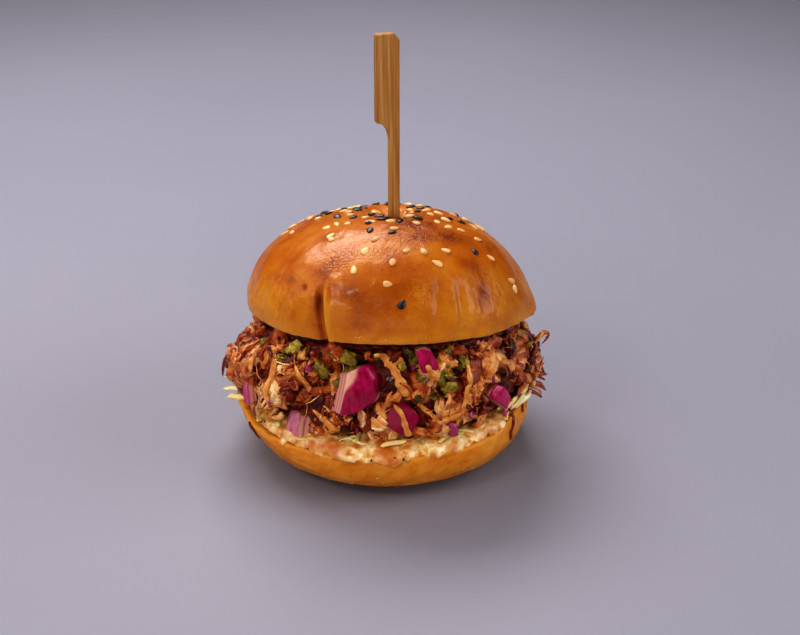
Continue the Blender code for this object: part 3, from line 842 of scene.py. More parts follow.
def crown():
    """The top bun: dome with fold, creases, wrinkles and blisters, and the crumb of its cut face."""
    az, el, reach = crust_shell("bun_crown", CROWN_FRAME, CROWN_COLUMNS, CROWN_ROWS, 1)
    spots = polar(az, reach * np.cos(el), reach * np.sin(el))
    high = spots[..., 2] / MM
    fold_at = -28.8 + 2.6 * np.clip(1 - high / 15.0, 0, 1)
    relief, wrinkle, blisters = crown_relief(az, spots, high, fold_at)
    # Lighter on the wrinkles' ridges and on the blisters: painted highlight on the raised crust
    brown = crown_browning(az, spots, high, fold_at) - 0.6 * np.clip(wrinkle, 0, 1) - 0.8 * blisters
    blistered = 0.10 + 0.25 * smooth_step(0.0, 0.5, grain(spots, 9, 23))
    patchy = 1 + 0.5 * grain(spots, 3.0, 24, 2)
    # Each mark darkens or lightens the crust; in the dents below 20 mm the darkening is painted shade
    for centre, level, spread, tall, browner, blister, out in CROWN_MARKS:
        mark = around(az, centre, spread) * bump_at(high, level, tall) * patchy
        relief += out * mark
        brown += browner * mark
        blistered += blister * mark
    reach = reach + relief * MM
    dome = polar(az, reach * np.cos(el), reach * np.sin(el))
    rise = swells(az[0], *CROWN_RISES) * MM
    dome[..., 2] += rise[None] * fade(0.0, 13.0, high)
    pick_at = CROWN_FRAME.inverted() @ PICK_ENTRY
    near_pick = np.hypot(dome[..., 0] - pick_at.x, dome[..., 1] - pick_at.y)
    dome[..., 2] -= 0.7 * MM * bump_at(near_pick, 0, 2.6 * MM)
    shares = np.array((0.16, 0.33, 0.5, 0.66, 0.8, 0.9, 0.955, 0.985))
    fine = np.repeat(shares[:, None], CROWN_COLUMNS, 1)
    cut_face = dome[:1] * np.array((1, 1, 0)) * fine[..., None]
    cut_face[..., 2] = 0.25 * MM * grain(cut_face + 0.05, 2.2, 30) - 0.15 * MM + rise[None] * fine**4
    lip = dome[:1] * np.array((0.997, 0.997, 1.0)) + np.array((0, 0, -0.45 * MM))
    finish = crust_finish("crown_crust", (194, 128, 32), (168, 90, 8), (106, 36, 0), (218, 176, 116), 0.4)
    rings = transformed(np.concatenate((cut_face, lip, dome)), CROWN_FRAME)
    ring_piece(
        "crown_bun", rings, finish, "crust", ["bun_crown"],
        brown=np.concatenate((np.full(fine.shape, 0.3), brown[:1], brown)),
        crumb=np.concatenate((np.ones(fine.shape), np.full((1, CROWN_COLUMNS), 0.35), np.zeros(brown.shape))),
        blister=np.concatenate((np.zeros(fine.shape), blistered[:1], blistered)),
    )


def heel():
    """The bottom bun: paler crust with fine horizontal creases, a flat base and a curled rim."""
    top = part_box("bun_heel")[1].z
    matrix = Matrix.Translation((HEEL_CENTRE_X, 0, top))
    az, el, reach = crust_shell("bun_heel", matrix, HEEL_COLUMNS, HEEL_ROWS, -1)
    spots = polar(az, reach * np.cos(el), -reach * np.sin(el))
    high = (spots[..., 2] + top) / MM
    creases = (ridges(spots * np.array((0.3, 0.3, 1.0)), 2.2, 40) - 0.3) * 0.16
    creases += (ridges(spots * np.array((0.6, 0.6, 1.0)), 3.5, 41) - 0.3) * 0.35 * around(az, 72, 16)
    for depth, waver, turns, start, level, width, centre, spread in HEEL_CREASES:
        wavy = high + waver * np.sin(az * turns + start)
        creases -= depth * bump_at(wavy, level, width) * around(az, centre, spread)
    lumps = grains(spots, (0.5, 12, 42), (0.15, 2.5, 43), (0.05, 0.8, 44))
    reach = reach + (creases + lumps) * smooth_step(0.0, 2.5, high) * MM
    bowl = polar(az, reach * np.cos(el), -reach * np.sin(el))
    ring = polar(az[0], MM, 0.0)
    rise = swells(az[0], *HEEL_RISES) * MM * (1 + 0.25 * grain(ring, 0.1, 49))
    bowl[..., 2] += rise[None] * smooth_step(0.35 * top / MM, top / MM, high)
    bowl[..., 2] = np.maximum(bowl[..., 2], 0.02 * MM - top)
    brown = 0.26 + grains(spots, (0.18, 14, 45), (0.12, 4, 46))
    # Darker towards the bottom; darker in the creases' grooves, which is painted shade, and a little lighter
    # on their ridges, a painted highlight
    brown += 0.30 * fade(0.0, 6.0, high) - 0.7 * np.clip(creases, -0.4, 0.1)
    blistered = 0.1 + 0.5 * smooth_step(0.0, 0.5, grain(spots, 8, 48))
    shares = np.array((0.995, 0.988, 0.975, 0.955, 0.93, 0.9, 0.86, 0.78, 0.6, 0.4, 0.2))
    crumb_shares = np.array((0.0, 0.0, 0.0, 0.0, 0.15, 0.5, 0.9, 1.0, 1.0, 1.0, 1.0))
    fine = np.repeat(shares[:, None], HEEL_COLUMNS, 1)
    cut_face = bowl[:1] * np.array((1, 1, 0)) * fine[..., None]
    swell = 1.1 + grains(ring, (0.5, 0.2, 39), (0.3, 0.06, 38))
    lift = (rise + swell * MM)[None] * np.maximum(1 - ((fine - 0.975) / 0.08) ** 2, 0)
    cut_face[..., 2] = 0.15 * MM * grain(cut_face + 0.03, 2.0, 47) + 0.1 * MM + lift
    finish = crust_finish("heel_crust", (222, 160, 68), (198, 120, 32), (136, 60, 8), (210, 160, 96), 0.15)
    rings = transformed(np.concatenate((bowl[::-1], cut_face)), matrix)
    ring_piece(
        "heel_bun", rings, finish, "crust", ["bun_heel"],
        brown=np.concatenate((brown[::-1], np.full(fine.shape, 0.22))),
        crumb=np.concatenate((np.zeros(brown.shape), np.repeat(crumb_shares[:, None], HEEL_COLUMNS, 1))),
        blister=np.concatenate((blistered[::-1], np.zeros(fine.shape))),
    )


# ------------------------------------------------------------------------------- the pork's outline


class Heap:
    """The pulled pork's outline, read from the CAD: places on it by azimuth and by rise, which
    runs from 0 at its foot to 1 at its top edge."""

    columns, rows = 180, 25

    def __init__(self):
        tree = tree_of([frame["nodes"]["pulled_pork"]])
        self.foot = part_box("pulled_pork")[0].z
        azimuth, rise = full_turn(self.columns), np.linspace(0.02, 0.98, self.rows)
        reach = np.full((self.rows, self.columns), 46 * MM)
        for _ in range(2):
            height = self.height(azimuth[None], rise[:, None], reach)
            for spot in np.ndindex(*reach.shape):
                reach[spot] = cast_in(tree, azimuth[spot[1]], height[spot])[1] or 40 * MM
        for _ in range(4):  # fills the seats of the onion pieces
            reach = np.maximum(reach, blurred(reach, 2.0, 3.0))
        self.reach = blurred(reach, 0.8, 1.2)

    def height(self, azimuth, rise, radius):
        back = -radius * np.cos(azimuth)
        top = CROWN_ORIGIN.z - back * math.tan(CROWN_TILT) - 4.2 * MM / math.cos(CROWN_TILT)
        top = top + swells(azimuth, *CROWN_RISES) * MM
        return self.foot + rise * (top - self.foot)

    def radius(self, azimuth, rise):
        column = np.mod(azimuth / (2 * math.pi), 1.0) * self.columns
        return sampled(self.reach, np.clip((rise - 0.02) / 0.96, 0, 1) * (self.rows - 1), column)

    def point(self, azimuth, rise, out=0.0):
        radius = self.radius(azimuth, rise) + out
        return polar(azimuth, radius, self.height(azimuth, rise, radius))

    def normal(self, azimuth, rise):
        step = 0.03
        round_way = self.point(azimuth + step, rise) - self.point(azimuth - step, rise)
        up_way = self.point(azimuth, rise + step) - self.point(azimuth, rise - step)
        return unit(np.cross(round_way, up_way))

    def rise_at(self, azimuth, height):
        """The rise of the outline's point at that height."""
        rise = np.full(np.shape(azimuth), 0.5)
        for _ in range(4):
            top = self.height(azimuth, 1.0, self.radius(azimuth, rise))
            rise = (height - self.foot) / (top - self.foot)
        return rise

    def skin(self, columns, rows):
        """A grid over the whole outline: azimuths, rises, points and the ways out of them."""
        azimuth, rise = np.meshgrid(full_turn(columns), np.linspace(0, 1, rows))
        return azimuth, rise, self.point(azimuth, rise), self.normal(azimuth, np.clip(rise, 0.03, 0.97))


heap = Heap()


def heap_lumps(spots):
    """The heap's clumps and hollows, in millimetres out of its smooth outline."""
    return grains(spots, (2.2, 8.5, 50, 2), (0.8, 3.5, 53, 2))


def clear_of_onions(paths, margin):
    """True for each path that stays out of the onion pieces."""
    clear = np.ones(len(paths), bool)
    for _name, width, height, _depth, azimuth, radius, level, *_rest in ONION_PIECES:
        off = paths - polar(math.radians(azimuth), radius * MM, level * MM)
        flat = np.linalg.norm(off * np.array((1, 0.6, 1.15)), axis=-1)
        clear &= (flat > 0.5 * MM * max(width, height) * margin).all(1)
    return clear


def golden_places(count, rng):
    """Evenly scattered (azimuth, rise) places."""
    i = np.arange(count)
    azimuth = 2 * math.pi * np.mod(i * 0.7548776662 + 0.1, 1.0) + rng.normal(0, 0.03, count)
    return azimuth, np.mod(i * 0.5698402910 + 0.3, 1.0)


# -------------------------------------------------------------------------------------------- pork


def shred_paths(azimuth, rise, heading, bend, length, steps, out, curl):
    """Paths of torn pork on the heap through their middles, and the ways out of the heap. curl
    lifts their ends."""
    sideways, upward = bent_lines(heading, bend, length, steps)
    azimuths = azimuth[:, None] + sideways / HEAP_RADIUS
    rises = rise[:, None] + upward / HEAP_HEIGHT
    over = np.clip(rises, 0.0, 1.0)
    normal, spots = heap.normal(azimuths, over), heap.point(azimuths, over)
    lift = out[:, None] + curl[:, None] * np.linspace(-1, 1, steps)[None] ** 2
    lift = lift + np.minimum(heap_lumps(spots), 1.6) * MM
    paths = spots + lift[..., None] * normal
    paths[..., 2] += (rises - over) * 10 * MM
    return paths, normal


def shreds(name, count, seed, length, width, flat, out, curl, sides, steps, tones, ridged, frayed, finish):
    """Torn strips of pork over the heap, as PORK_SHREDS says."""
    rng = np.random.default_rng(seed)
    azimuth, rise = golden_places(count, rng)
    rise = 0.02 + 0.96 * rise
    heading = 2.6 * grain(heap.point(azimuth, rise), 13, seed + 4, 2) + rng.normal(0.9, 0.75, count)
    bend = rng.normal(0, 0.9, count)
    long, lift, ends = (rng.uniform(*limits, count) * MM for limits in (length, out, curl))
    paths, normal = shred_paths(azimuth, rise, heading, bend, long, steps, lift, ends)
    keep = clear_of_onions(paths, 1.0)
    paths, normal, azimuth, rise = paths[keep], normal[keep], azimuth[keep], rise[keep]
    count = len(paths)
    paths = paths + normal * (0.5 * MM * grain(paths, 3.2, seed, 2))[..., None]
    s = np.linspace(-1, 1, steps)[None, :]
    taper = (1 - np.abs(s) ** rng.uniform(2.5, 7.0, (count, 1))) ** 0.5
    half = rng.uniform(*width, count)[:, None] / 2 * MM * np.maximum(taper, 0.1)
    half = half * (1 + 0.35 * grain(paths, 2.6, seed + 1, 2))
    high = half * rng.uniform(0.7, 1.3, (count, 1)) * flat
    drift = rng.normal(0, 1, (count, 1, sides)) + 0.5 * rng.normal(0, 1, (count, steps, sides))
    ragged = rng.normal(0, frayed * MM, (count, 1, sides)) * (s**4 * np.sign(s))[..., None]
    ridge = 1 + ridged * np.clip(drift, -1.8, 1.8)
    points, faces, grain_place = tubes(paths, normal, half, high, sides, ridge, ragged)
    centre = paths[:, steps // 2]
    # Darker round the right side; darker towards the top, painted shade under the crown; lighter on the
    # heap's clumps and darker in its hollows, painted light and shade
    shade = rng.uniform(*tones, count) + 0.25 * grain(centre, 9, seed + 2) - 0.10 * around(azimuth, 70, 35)
    shade += 0.07 * np.clip(heap_lumps(centre), -2.5, 1.5) - 0.14 * smooth_step(0.75, 1.0, rise)
    shade = shade[:, None] + 0.10 * grain(paths, 2.5, seed + 3, 2) - 0.16 * np.abs(s) ** 3
    streak = np.concatenate((drift.reshape(count, -1), np.zeros((count, 2))), 1).ravel()
    attributes = {"tone": per_tube(shade, steps, sides) + 0.06 * streak, "grain_place": grain_place}
    add_piece(name, points, faces, finish, (), attributes)


def pork_core():
    """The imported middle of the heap: dark, lumpy and fibrous, under the loose shreds."""
    _azimuth, _rise, spots, outward = heap.skin(420, 64)
    relief = -3.2 + heap_lumps(spots) + 0.6 * ridges(spots * np.array((1, 1, 1.6)), 2.6, 51)
    rings = spots + outward * (relief * MM)[..., None]
    finish = pork_finish("pork_core", 0.40, 0.4, False)
    ring_piece("pork_heap", rings, finish, "meat", ["pulled_pork"], tone=0.15 + 0.25 * grain(spots, 5, 52))


def pork_crumbs():
    """Small torn bits between the strips, more of them along the top of the heap."""
    rng = np.random.default_rng(66)
    azimuth, rise = golden_places(220, rng)
    azimuth = np.concatenate((azimuth, rng.uniform(-math.pi, math.pi, 150)))
    rise = np.concatenate((0.03 + 0.94 * rise, rng.uniform(0.93, 1.0, 150)))
    spots = heap.point(azimuth, rise)
    lift = (np.minimum(heap_lumps(spots), 1.4) + rng.uniform(-1.8, -0.2, len(spots))) * MM
    spots = spots + lift[:, None] * heap.normal(azimuth, np.clip(rise, 0.05, 0.95))
    kept = clear_of_onions(spots[:, None], 1.1)
    spots, rise = spots[kept], rise[kept]
    sizes = rng.uniform(1.4, 4.2, len(spots)) * MM
    # Darker along the top: painted shade under the crown
    shades = rng.uniform(0.1, 0.85, len(spots)) - 0.15 * smooth_step(0.85, 0.95, rise)
    finish = pork_finish("pork_bits", 0.42, 0.35, False)
    scatter_chunks("pork_crumbs", zip(spots, sizes, shades), 2.4, 0.65, 67, finish, 7, 11)


def strands(name, rows, finish):
    """Single strands through (azimuth, height, radius) knots, each with its width and its tone."""
    steps, sides = 16, 10
    rng = np.random.default_rng(len(rows))
    paths = np.array([spline(knots, steps) for knots, _width, _tone in rows])
    paths = polar(np.radians(paths[..., 0]), paths[..., 2] * MM, paths[..., 1] * MM)
    paths = paths + 0.35 * MM * np.stack([grain(paths, 3.5, 170 + k, 2) for k in range(3)], -1)
    s = np.linspace(0, 1, steps)[None]
    width = np.array([row[1] for row in rows])[:, None] * MM
    half = width / 2 * np.maximum((1 - s**4) ** 0.6, 0.12) * (1 + 0.3 * grain(paths, 2.5, 171, 2))
    outward = unit(paths * np.array((1, 1, 0.0)) + np.array((0, 0, 0.02)))
    drift = rng.normal(0, 1, (len(rows), 1, sides)) + 0.6 * rng.normal(0, 1, (len(rows), steps, sides))
    ridge = 1 + 0.1 * np.clip(drift, -2, 2)
    points, faces, grain_place = tubes(paths, outward, half, 0.7 * half, sides, ridge)
    shade = np.array([row[2] for row in rows])[:, None] - 0.25 * s**3
    attributes = {"tone": per_tube(shade, steps, sides), "grain_place": grain_place}
    add_piece(name, points, faces, finish, (), attributes)


def pork():
    pork_core()
    meat = pork_finish("pork_meat", 0.40, 0.6, True)
    for row in PORK_SHREDS:
        shreds(finish=meat, **row)
    pork_crumbs()
    strands("pork_tips", STRAY_PORK, meat)


# ------------------------------------------------------------------------------ slaw, relish, sauces


def slaw():
    """Creamy slaw with a ragged, lobed edge that hangs a little over the heel's rim."""
    columns, rows = 560, 44
    box_low, box_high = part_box("slaw")
    base, top = box_low.z, box_high.z
    azimuth = full_turn(columns)
    ring = polar(azimuth, MM, 0.0)
    lobes = grains(ring, (1.3, 0.30, 70, 2), (1.2, 0.12, 71, 2)) + np.abs(grain(ring, 0.06, 72, 2)) + 0.5
    lobes += swells(azimuth, (1.8, 4, 9), (1.2, 33, 9), (-3.6, -68, 20), (-1.6, 80, 22))
    inner, edge = 38 * MM, (48.9 + lobes) * MM
    share = np.linspace(0, 1, rows)[:, None]
    radius = inner + (edge[None] - inner) * np.sin(share * math.pi / 2)
    droop = 1.1 * np.clip(lobes, 0, 2.6)
    droop += 0.8 * np.abs(grain(ring, 0.08, 77, 2)) * smooth_step(0.0, 1.0, lobes)
    lip = base + MM * (2.1 + 0.9 * grain(ring, 0.16, 73, 2) - droop)[None]
    lip = lip + 0.85 * MM * swells(azimuth, *HEEL_RISES)[None]
    height = top - (top - lip) * share**2.4
    spots = polar(azimuth[None], radius, height)
    away = MM * (1.1 * grain(spots, 6.0, 74) + 0.25 * ridges(spots, 3.5, 75)) * (1 - 0.45 * share)
    upper = polar(azimuth[None], radius + away * share, height + away * (1 - share**2))
    under_share = np.array((0.994, 0.975, 0.93, 0.85))[:, None]
    under = polar(azimuth[None], edge[None] * under_share, lip - 0.5 * MM + 12.0 * MM * (1 - under_share))
    rings = np.concatenate((under[::-1], upper[::-1])) + FILLING_SHIFT
    stain = swells(azimuth, (0.9, 4, 5), (0.5, -20, 8), (0.5, 44, 7))[None] + 0.8 * grain(rings, 5, 76) + 0.05
    ring_piece("slaw_dressing", rings, cream_finish(), "cream", ["slaw"], stain=stain)


def cabbage():
    """Shreds of cabbage bedded in the slaw's edge, some of them sticking out of it."""
    rng = np.random.default_rng(81)
    count, steps, sides = 170, 12, 8
    azimuth = 2 * math.pi * (np.arange(count) + rng.uniform(0, 1, count)) / count
    height = rng.uniform(16.8, 21.8, count) * MM
    radius = rng.uniform(42.8, 46.8, count) * MM + (21.5 * MM - height) * 0.35
    radius -= 2.0 * MM * around(azimuth, -70, 22)
    heading = rng.normal(0, 0.8, count) + rng.choice((0, math.pi), count)
    long = rng.uniform(7, 14, count) * MM
    round_way, out_way = bent_lines(heading, rng.normal(0, 1.0, count), long, steps)
    out_way = np.clip(out_way, -6 * MM, 1.6 * MM)
    angle = azimuth[:, None] + round_way / HEAP_RADIUS
    paths = polar(angle, radius[:, None] + out_way, height[:, None] - 0.35 * out_way) + FILLING_SHIFT
    paths[..., 2] += 0.5 * MM * grain(paths, 5, 82, 2)
    normal = unit(polar(angle, 0.6, 0.8) + 0.35 * rng.normal(0, 1, (count, 1, 3)))
    taper = np.maximum((1 - np.abs(np.linspace(-1, 1, steps)[None]) ** 5) ** 0.5, 0.15)
    half, high = rng.uniform(0.6, 1.3, (count, 1)) * MM * taper, np.full((count, 1), 0.34 * MM) * taper
    points, faces, grain_place = tubes(paths, normal, half, high, sides)
    attributes = {"tone": per_tube(rng.uniform(0.0, 0.7, count), steps, sides), "grain_place": grain_place}
    finish = cabbage_finish()
    strands("slaw_strays", STRAY_SLAW, finish)
    add_piece("slaw_cabbage", points, faces, finish, (), attributes)


def barbecue_sauce(finish):
    """Dark sauce that pools between the shreds: a second skin of the heap that swells out in
    patches, mostly high at the front, and stays buried elsewhere."""
    azimuth, rise, spots, outward = heap.skin(380, 46)
    front = around(azimuth, 2, 34) * smooth_step(0.5, 0.95, rise)
    pools = grains(spots, (1, 7, 90, 3), (0.35, 3, 91, 2)) + 0.6 * front - 0.18
    out = -4.2 + 3.5 * smooth_step(0.0, 0.35, pools) + 0.4 * grain(spots, 2.2, 92, 2)
    out += 0.9 * np.minimum(heap_lumps(spots), 1.2)
    ring_piece("sauce_pools", spots + outward * (out * MM)[..., None], finish, "relish")


def relish_layer(finish):
    """The sauced relish under the crown, out to a lumpy edge."""
    azimuth = full_turn(480)
    low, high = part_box("relish")
    reach = 0.25 * (high.x - low.x + high.y - low.y) + 0.2 * MM
    bulge = swells(azimuth, (1.6, 0, 45), (-1.5, 180, 60))
    rings = []
    for share, depth in RELISH_PROFILE:
        spots = polar(azimuth, reach * share, -depth * MM)
        lump = grain(spots, 5, 95, 2) * 1.6 + (ridges(spots, 2, 96, 2) - 0.4) * 1.0
        rings.append(polar(azimuth, reach * share + (lump + bulge) * MM * share, -depth * MM))
    ring_piece("relish_layer", transformed(np.array(rings), CROWN_FRAME), finish, "relish", ["relish"])


def chunk_mesh(size, blockiness, rough, rng, rings, sides):
    """Points and faces of one irregular chunk of about that size."""
    lat, lon = np.linspace(-math.pi / 2, math.pi / 2, rings + 2)[1:-1, None], full_turn(sides)[None]
    ways = polar(lon + math.pi / 2, np.cos(lat), np.sin(lat))
    block = ways / (np.abs(ways) ** blockiness).sum(-1, keepdims=True) ** (1 / blockiness)
    scale = size / 2 * rng.uniform((0.9, 0.7, 0.35), (1.3, 1.0, 0.65))
    shifted = (ways + rng.uniform(0, 50, 3)) * MM
    lumps = grains(shifted, (rough, 0.9, 3, 2), (0.4 * rough, 0.3, 4, 2))
    turn = np.array(Euler(rng.uniform(0, 2 * math.pi, 3)).to_matrix())
    return close_rings((block * scale * (1 + lumps)[..., None]) @ turn.T)[0], ring_faces(rings, sides)


def scatter_chunks(name, places, blockiness, rough, seed, finish, rings=15, sides=22):
    """Chunks at (point, size, tone) places, joined in one piece."""
    rng = np.random.default_rng(seed)
    parts = []
    for place, size, shade in places:
        spots, faces = chunk_mesh(size, blockiness, rough, rng, rings, sides)
        parts.append((spots + place, faces, shade))
    points, faces, tones = joined(parts)
    add_piece(name, points, faces, finish, (), {"tone": tones})


def pickles():
    rng = np.random.default_rng(101)
    rows = list(PICKLE_PLACES)
    for low, high, count in PICKLE_SPREADS:
        for _ in range(count):
            size, out = rng.uniform(2.6, 5.0), rng.uniform(-1.3, -0.2)
            rows.append((rng.uniform(low, high), None, size, out, rng.uniform(0.15, 0.75)))
    places = []
    for azimuth, height, size, out, shade in rows:
        angle = np.array(math.radians(azimuth))
        rise = np.array(rng.uniform(0.70, 1.0)) if height is None else heap.rise_at(angle, height * MM)
        spot = heap.point(angle, np.clip(rise, 0, 1))
        spot = spot + out * MM * heap.normal(angle, np.clip(rise, 0.03, 0.97))
        places.append((spot, size * MM, shade))
    scatter_chunks("pickle_chunks", places, 3.0, 0.5, 102, pickle_finish())


def drizzle(name, rows, finish, under, flat):
    """Strands of sauce that lie on whatever is under them; flat is their height over their width."""
    steps, sides = 26, 10
    tree = tree_of(under)
    s = np.linspace(-1, 1, steps)
    parts = []
    for number, (knots, width) in enumerate(rows):
        places = spline(knots, steps)
        angle, height = np.radians(places[:, 0]), places[:, 1] * MM
        reach = np.array([cast_in(tree, *place)[1] or HEAP_RADIUS for place in zip(angle, height)])[:, None]
        reach = np.maximum(blurred(reach, 2.0, 0), blurred(reach, 0.8, 0))[:, 0]
        path = polar(angle, reach + 0.3 * MM, height)
        waver = grain(path, 4, 110 + number, 2) * 0.6 * MM
        path = path + waver[:, None] * polar(angle + math.pi / 2, 1.0, 0.0)
        half = width / 2 * MM * np.maximum((1 - np.abs(s) ** 4) ** 0.5, 0.08)
        half = half * (1 + 0.5 * grain(path, 2.6, 130 + number, 2) + 0.25 * bump_at(s, 0.8, 0.2))
        outward = polar(angle, 1.0, 0.0)
        points, faces, _ = tubes(path[None], outward[None], half[None], flat * half[None], sides)
        parts.append((points, faces, 0.0))
    points, faces, _ = joined(parts)
    add_piece(name, points, faces, finish)


# ------------------------------------------------------------------------------------ onion pieces


def onion_block(width, height, depth, lean):
    """A diced block like the CAD's, its curved skin facing -Y, with soft edges and a bent skin;
    lean moves its top across."""
    across, up, deep = 12, 10, 9
    v, u = np.meshgrid(np.linspace(-1, 1, up + 1), np.linspace(-1, 1, across + 1), indexing="ij")
    sheets = []
    for share in np.arange(deep + 1) / deep:
        radius = ONION_SKIN_RADIUS - depth * 0.8 * share
        shrink = 1 - 0.18 * share
        x = width * (1 - 0.10 * v - 0.10 * v**2) * shrink / 2 * u
        z = height * (1 - 0.10 * u - 0.12 * u**2) * shrink / 2 * v
        y = -np.sqrt(np.maximum(radius**2 - x**2 - z**2, 0)) + radius + depth * share
        sheets.append(np.stack((x + lean * z, y, z), -1))
    bm = bmesh.new()
    grid = [[[bm.verts.new(p) for p in row] for row in sheet] for sheet in sheets]
    for sheet in (grid[0], grid[-1]):
        for low, high in zip(sheet, sheet[1:]):
            for i in range(across):
                bm.faces.new((low[i], low[i + 1], high[i + 1], high[i]))
    border = [(0, i) for i in range(across)] + [(j, across) for j in range(up)]
    border += [(up, i) for i in range(across, 0, -1)] + [(j, 0) for j in range(up, 0, -1)]
    for near, far in zip(grid, grid[1:]):
        for (j0, i0), (j1, i1) in zip(border, border[1:] + border[:1]):
            bm.faces.new((near[j0][i0], near[j1][i1], far[j1][i1], far[j0][i0]))
    bmesh.ops.delete(bm, geom=[v for v in bm.verts if not v.link_faces], context="VERTS")
    bmesh.ops.recalc_face_normals(bm, faces=bm.faces[:])
    sharp = [e for e in bm.edges if e.calc_face_angle(0) > math.radians(40)]
    bmesh.ops.bevel(bm, geom=sharp, offset=0.45 * MM, segments=3, profile=0.5, affect="EDGES")
    bmesh.ops.subdivide_edges(bm, edges=bm.edges[:], cuts=1, use_grid_fill=True)
    mesh = bpy.data.meshes.new("onion_block")
    bm.to_mesh(mesh)
    bm.free()
    points = np.array([tuple(v.co) for v in mesh.vertices])
    faces = [list(f.vertices) for f in mesh.polygons]
    bpy.data.meshes.remove(mesh)
    return points, faces


def onions():
    finish = onion_finish()
    for number, row in enumerate(ONION_PIECES):
        name, width, height, depth, azimuth, radius, level, yaw, pitch, roll, pale, lean = row
        local, faces = onion_block(width * MM, height * MM, depth * MM, lean)
        skin_y = ONION_SKIN_RADIUS - np.sqrt(ONION_SKIN_RADIUS**2 - local[:, 0] ** 2 - local[:, 2] ** 2)
        under_skin = (local[:, 1] - skin_y) / MM
        attributes = {
            "skin": fade(0.3, 0.6, under_skin),
            "layer": 0.7 * (0.5 + 0.5 * np.cos(under_skin / 2.3 * 2 * math.pi)) ** 3,
            "pale": pale + 0.12 * local[:, 2] / (height * MM),
        }
        ways = unit(local - np.array((0, ONION_SKIN_RADIUS, 0)))
        ribs = 0.22 * np.sin(local[:, 0] / (1.3 * MM) + number) + 0.4 * grain(local, 5, 140 + number, 2)
        local = local + (ribs * MM)[:, None] * ways
        turn = math.radians(azimuth)
        facing = Euler([math.radians(a) for a in (pitch, roll, yaw)], "YXZ").to_matrix().to_4x4()
        place = Matrix.Translation(polar(turn, radius * MM, level * MM)) @ Matrix.Rotation(turn, 4, "Z")
        spots = transformed(local, place @ facing)
        add_piece(name + "_piece", spots, faces, finish, [name], attributes)


def onion_bits(under):
    """Little cut pieces of red onion on the heap."""
    tree = tree_of(under)
    places = []
    for azimuth, height, size in ONION_BITS:
        spot = cast_in(tree, math.radians(azimuth), height * MM)[0]
        places.append((spot, size * MM, 0.15 + 0.05 * (height % 7)))
    finish = speck_finish("onion_bits", (206, 92, 150), (120, 6, 58), 0.22)
    scatter_chunks("onion_bits", places, 4.0, 0.3, 141, finish, 9, 14)


# --------------------------------------------------------------------------- seeds, crumbs, pepper


def seed_shape(length, width, thickness):
    """One sesame seed lying flat: an egg outline, pointed at +X."""
    rings, sides = 9, 12
    turn, lon = np.linspace(0, math.pi, rings + 2)[1:-1, None], full_turn(sides)[None]
    x = -0.5 * length * np.cos(turn)
    girth = np.sin(turn) ** 0.85 * (1 - 0.34 * x / (0.5 * length))
    ring = (x + 0 * lon, -0.5 * width * girth * np.cos(lon), 0.5 * thickness * girth * np.sin(lon))
    return close_rings(np.stack(ring, -1))[0], ring_faces(rings, sides)


def sow(name, places, finish, tree, rng, size):
    """Seeds pressed into the crown at (azimuth in degrees, radius) places in its own frame."""
    parts = []
    down = CROWN_FRAME.to_3x3() @ Vector((0, 0, -1))
    for azimuth, radius in places:
        start = CROWN_FRAME @ Vector(polar(math.radians(azimuth), radius, 60 * MM))
        spot, normal, _index, _distance = tree.ray_cast(start, down)
        if spot is None:
            continue
        local, faces = seed_shape(*(SEED_SIZE * size * rng.uniform(0.86, 1.1, 3)))
        turn = Matrix.Rotation(rng.uniform(0, 2 * math.pi), 3, "Z")
        tilt = normal.to_track_quat("Z", "X").to_matrix() @ turn
        tilt = tilt @ Euler((rng.normal(0, 0.10), rng.normal(0, 0.08), 0)).to_matrix()
        shade = rng.uniform(0.45, 0.95) - 0.25 * smooth_step(0.5 * MM, 1.9 * MM, local[:, 0])
        parts.append((local @ np.array(tilt).T + np.array(spot + normal * 0.10 * MM), faces, shade))
    points, faces, tones = joined(parts)
    add_piece(name, points, faces, finish, (), {"tone": tones})


def seeds(crown_piece):
    """White and black sesame: those at the front, then more over the top and the back."""
    rng = np.random.default_rng(151)
    tree = tree_of([crown_piece])
    white = [(azimuth, radius * MM) for azimuth, radius in WHITE_SEEDS]
    black = [(azimuth, radius * MM) for azimuth, radius in BLACK_SEEDS]
    taken = [polar(math.radians(a), r, 0.0) for a, r in white + black]
    for kind, wanted, spread in ((black, MORE_BLACK, BLACK_SPREAD), (white, MORE_WHITE, WHITE_SPREAD)):
        wanted += len(kind)
        while len(kind) < wanted:
            azimuth = rng.uniform(-180, 180)
            radius = 45 * MM * spread * math.sqrt(rng.uniform(0.02, 1.0))
            spot = polar(math.radians(azimuth), radius, 0.0)
            front = abs(azimuth) < 75 and radius > 20 * MM
            close = min(np.linalg.norm(spot - other) for other in taken) < 2.9 * MM
            on_pick = radius < 4.5 * MM
            if not (front or close or on_pick):
                taken.append(spot)
                kind.append((azimuth, radius))
    pale = speck_finish("sesame_white", (232, 192, 134), (184, 112, 50), 0.42)
    dark = speck_finish("sesame_black", (34, 28, 26), (10, 8, 8), 0.45)
    sow("sesame_white", white, pale, tree, rng, 1.0)
    sow("sesame_black", black, dark, tree, rng, 0.95)


